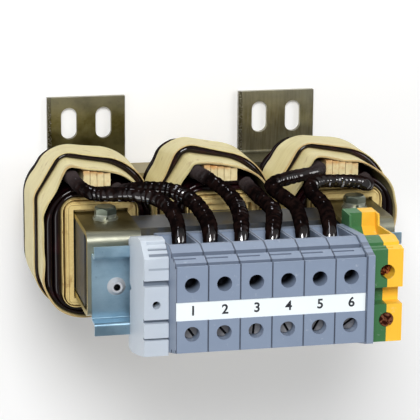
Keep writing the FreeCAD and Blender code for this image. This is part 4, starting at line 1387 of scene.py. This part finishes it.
def softbox(name, place, width, power):
    """Square area light that faces the middle of the object. Its place and width are metres."""
    light = bpy.data.lights.new(name, "AREA")
    light.shape = "SQUARE"
    light.size = width
    light.energy = power
    lamp = bpy.data.objects.new(name, light)
    bpy.context.scene.collection.objects.link(lamp)
    lamp.location = place
    aim = Vector((0.0, 0.0, 0.09)) - lamp.location
    lamp.rotation_euler = aim.to_track_quat("-Z", "Y").to_euler()


def place_camera(scene, stage):
    """Camera with the place, direction and lens of the stage's settings."""
    lens = bpy.data.cameras.new("camera")
    lens.sensor_width = 36.0
    lens.lens = stage.lens
    lens.clip_end = 20.0
    camera = bpy.data.objects.new("camera", lens)
    scene.collection.objects.link(camera)
    sin_pitch, cos_pitch = math.sin(stage.pitch), math.cos(stage.pitch)
    sin_yaw, cos_yaw = math.sin(stage.yaw), math.cos(stage.yaw)
    forward = Vector((sin_yaw * cos_pitch, -sin_pitch, -cos_yaw * cos_pitch))
    right = Vector((cos_yaw, 0.0, sin_yaw))
    up = right.cross(forward)
    turn = math.cos(stage.roll), math.sin(stage.roll)
    right, up = right * turn[0] + up * turn[1], up * turn[0] - right * turn[1]
    turned = Matrix((right, up, -forward)).transposed().to_4x4()
    camera.matrix_world = Matrix.Translation(stage.camera) @ turned
    scene.camera = camera


# Add-on


class REACTOR_PT_panel(bpy.types.Panel):
    """Sizes, colours, camera and light of the reactor, and a button for each group of pieces"""
    bl_idname = "REACTOR_PT_panel"
    bl_label = "Reactor"
    bl_space_type = "VIEW_3D"
    bl_region_type = "UI"
    bl_category = "Reactor"

    def draw(self, context):
        for group in GROUPS:
            settings = getattr(context.scene, group)
            for name in settings.__annotations__:
                self.layout.prop(settings, name)
        for operator in OPERATORS:
            self.layout.operator(operator.bl_idname)


GROUPS = {"reactor_paper": ReactorPaper, "reactor_winding": ReactorWinding,
          "reactor_lead": ReactorLead, "reactor_colours": ReactorColours,
          "reactor_stage": ReactorStage}
OPERATORS = (REACTOR_OT_stage, REACTOR_OT_solids, REACTOR_OT_inner_windings,
             REACTOR_OT_outer_windings, REACTOR_OT_collars, REACTOR_OT_bands,
             REACTOR_OT_leg_wraps, REACTOR_OT_sticks, REACTOR_OT_leads, REACTOR_OT_numbers)


def register():
    """Make the settings, operators and panel known to Blender."""
    for kind in (*GROUPS.values(), *OPERATORS, REACTOR_PT_panel):
        bpy.utils.register_class(kind)
    for name, kind in GROUPS.items():
        setattr(bpy.types.Scene, name, PointerProperty(type=kind))


def unregister():
    """Take them away again."""
    for name in GROUPS:
        delattr(bpy.types.Scene, name)
    for kind in (REACTOR_PT_panel, *reversed(OPERATORS), *GROUPS.values()):
        bpy.utils.unregister_class(kind)


def main():
    """Make the finishes and build every piece in turn."""
    register()
    for slot, maker in list(finishes.items()):
        finishes[slot] = Finish(slot)
        maker(finishes[slot])
    for operator in OPERATORS:
        group, name = operator.bl_idname.split(".")
        getattr(getattr(bpy.ops, group), name)()


if __name__ == "__main__":
    main()
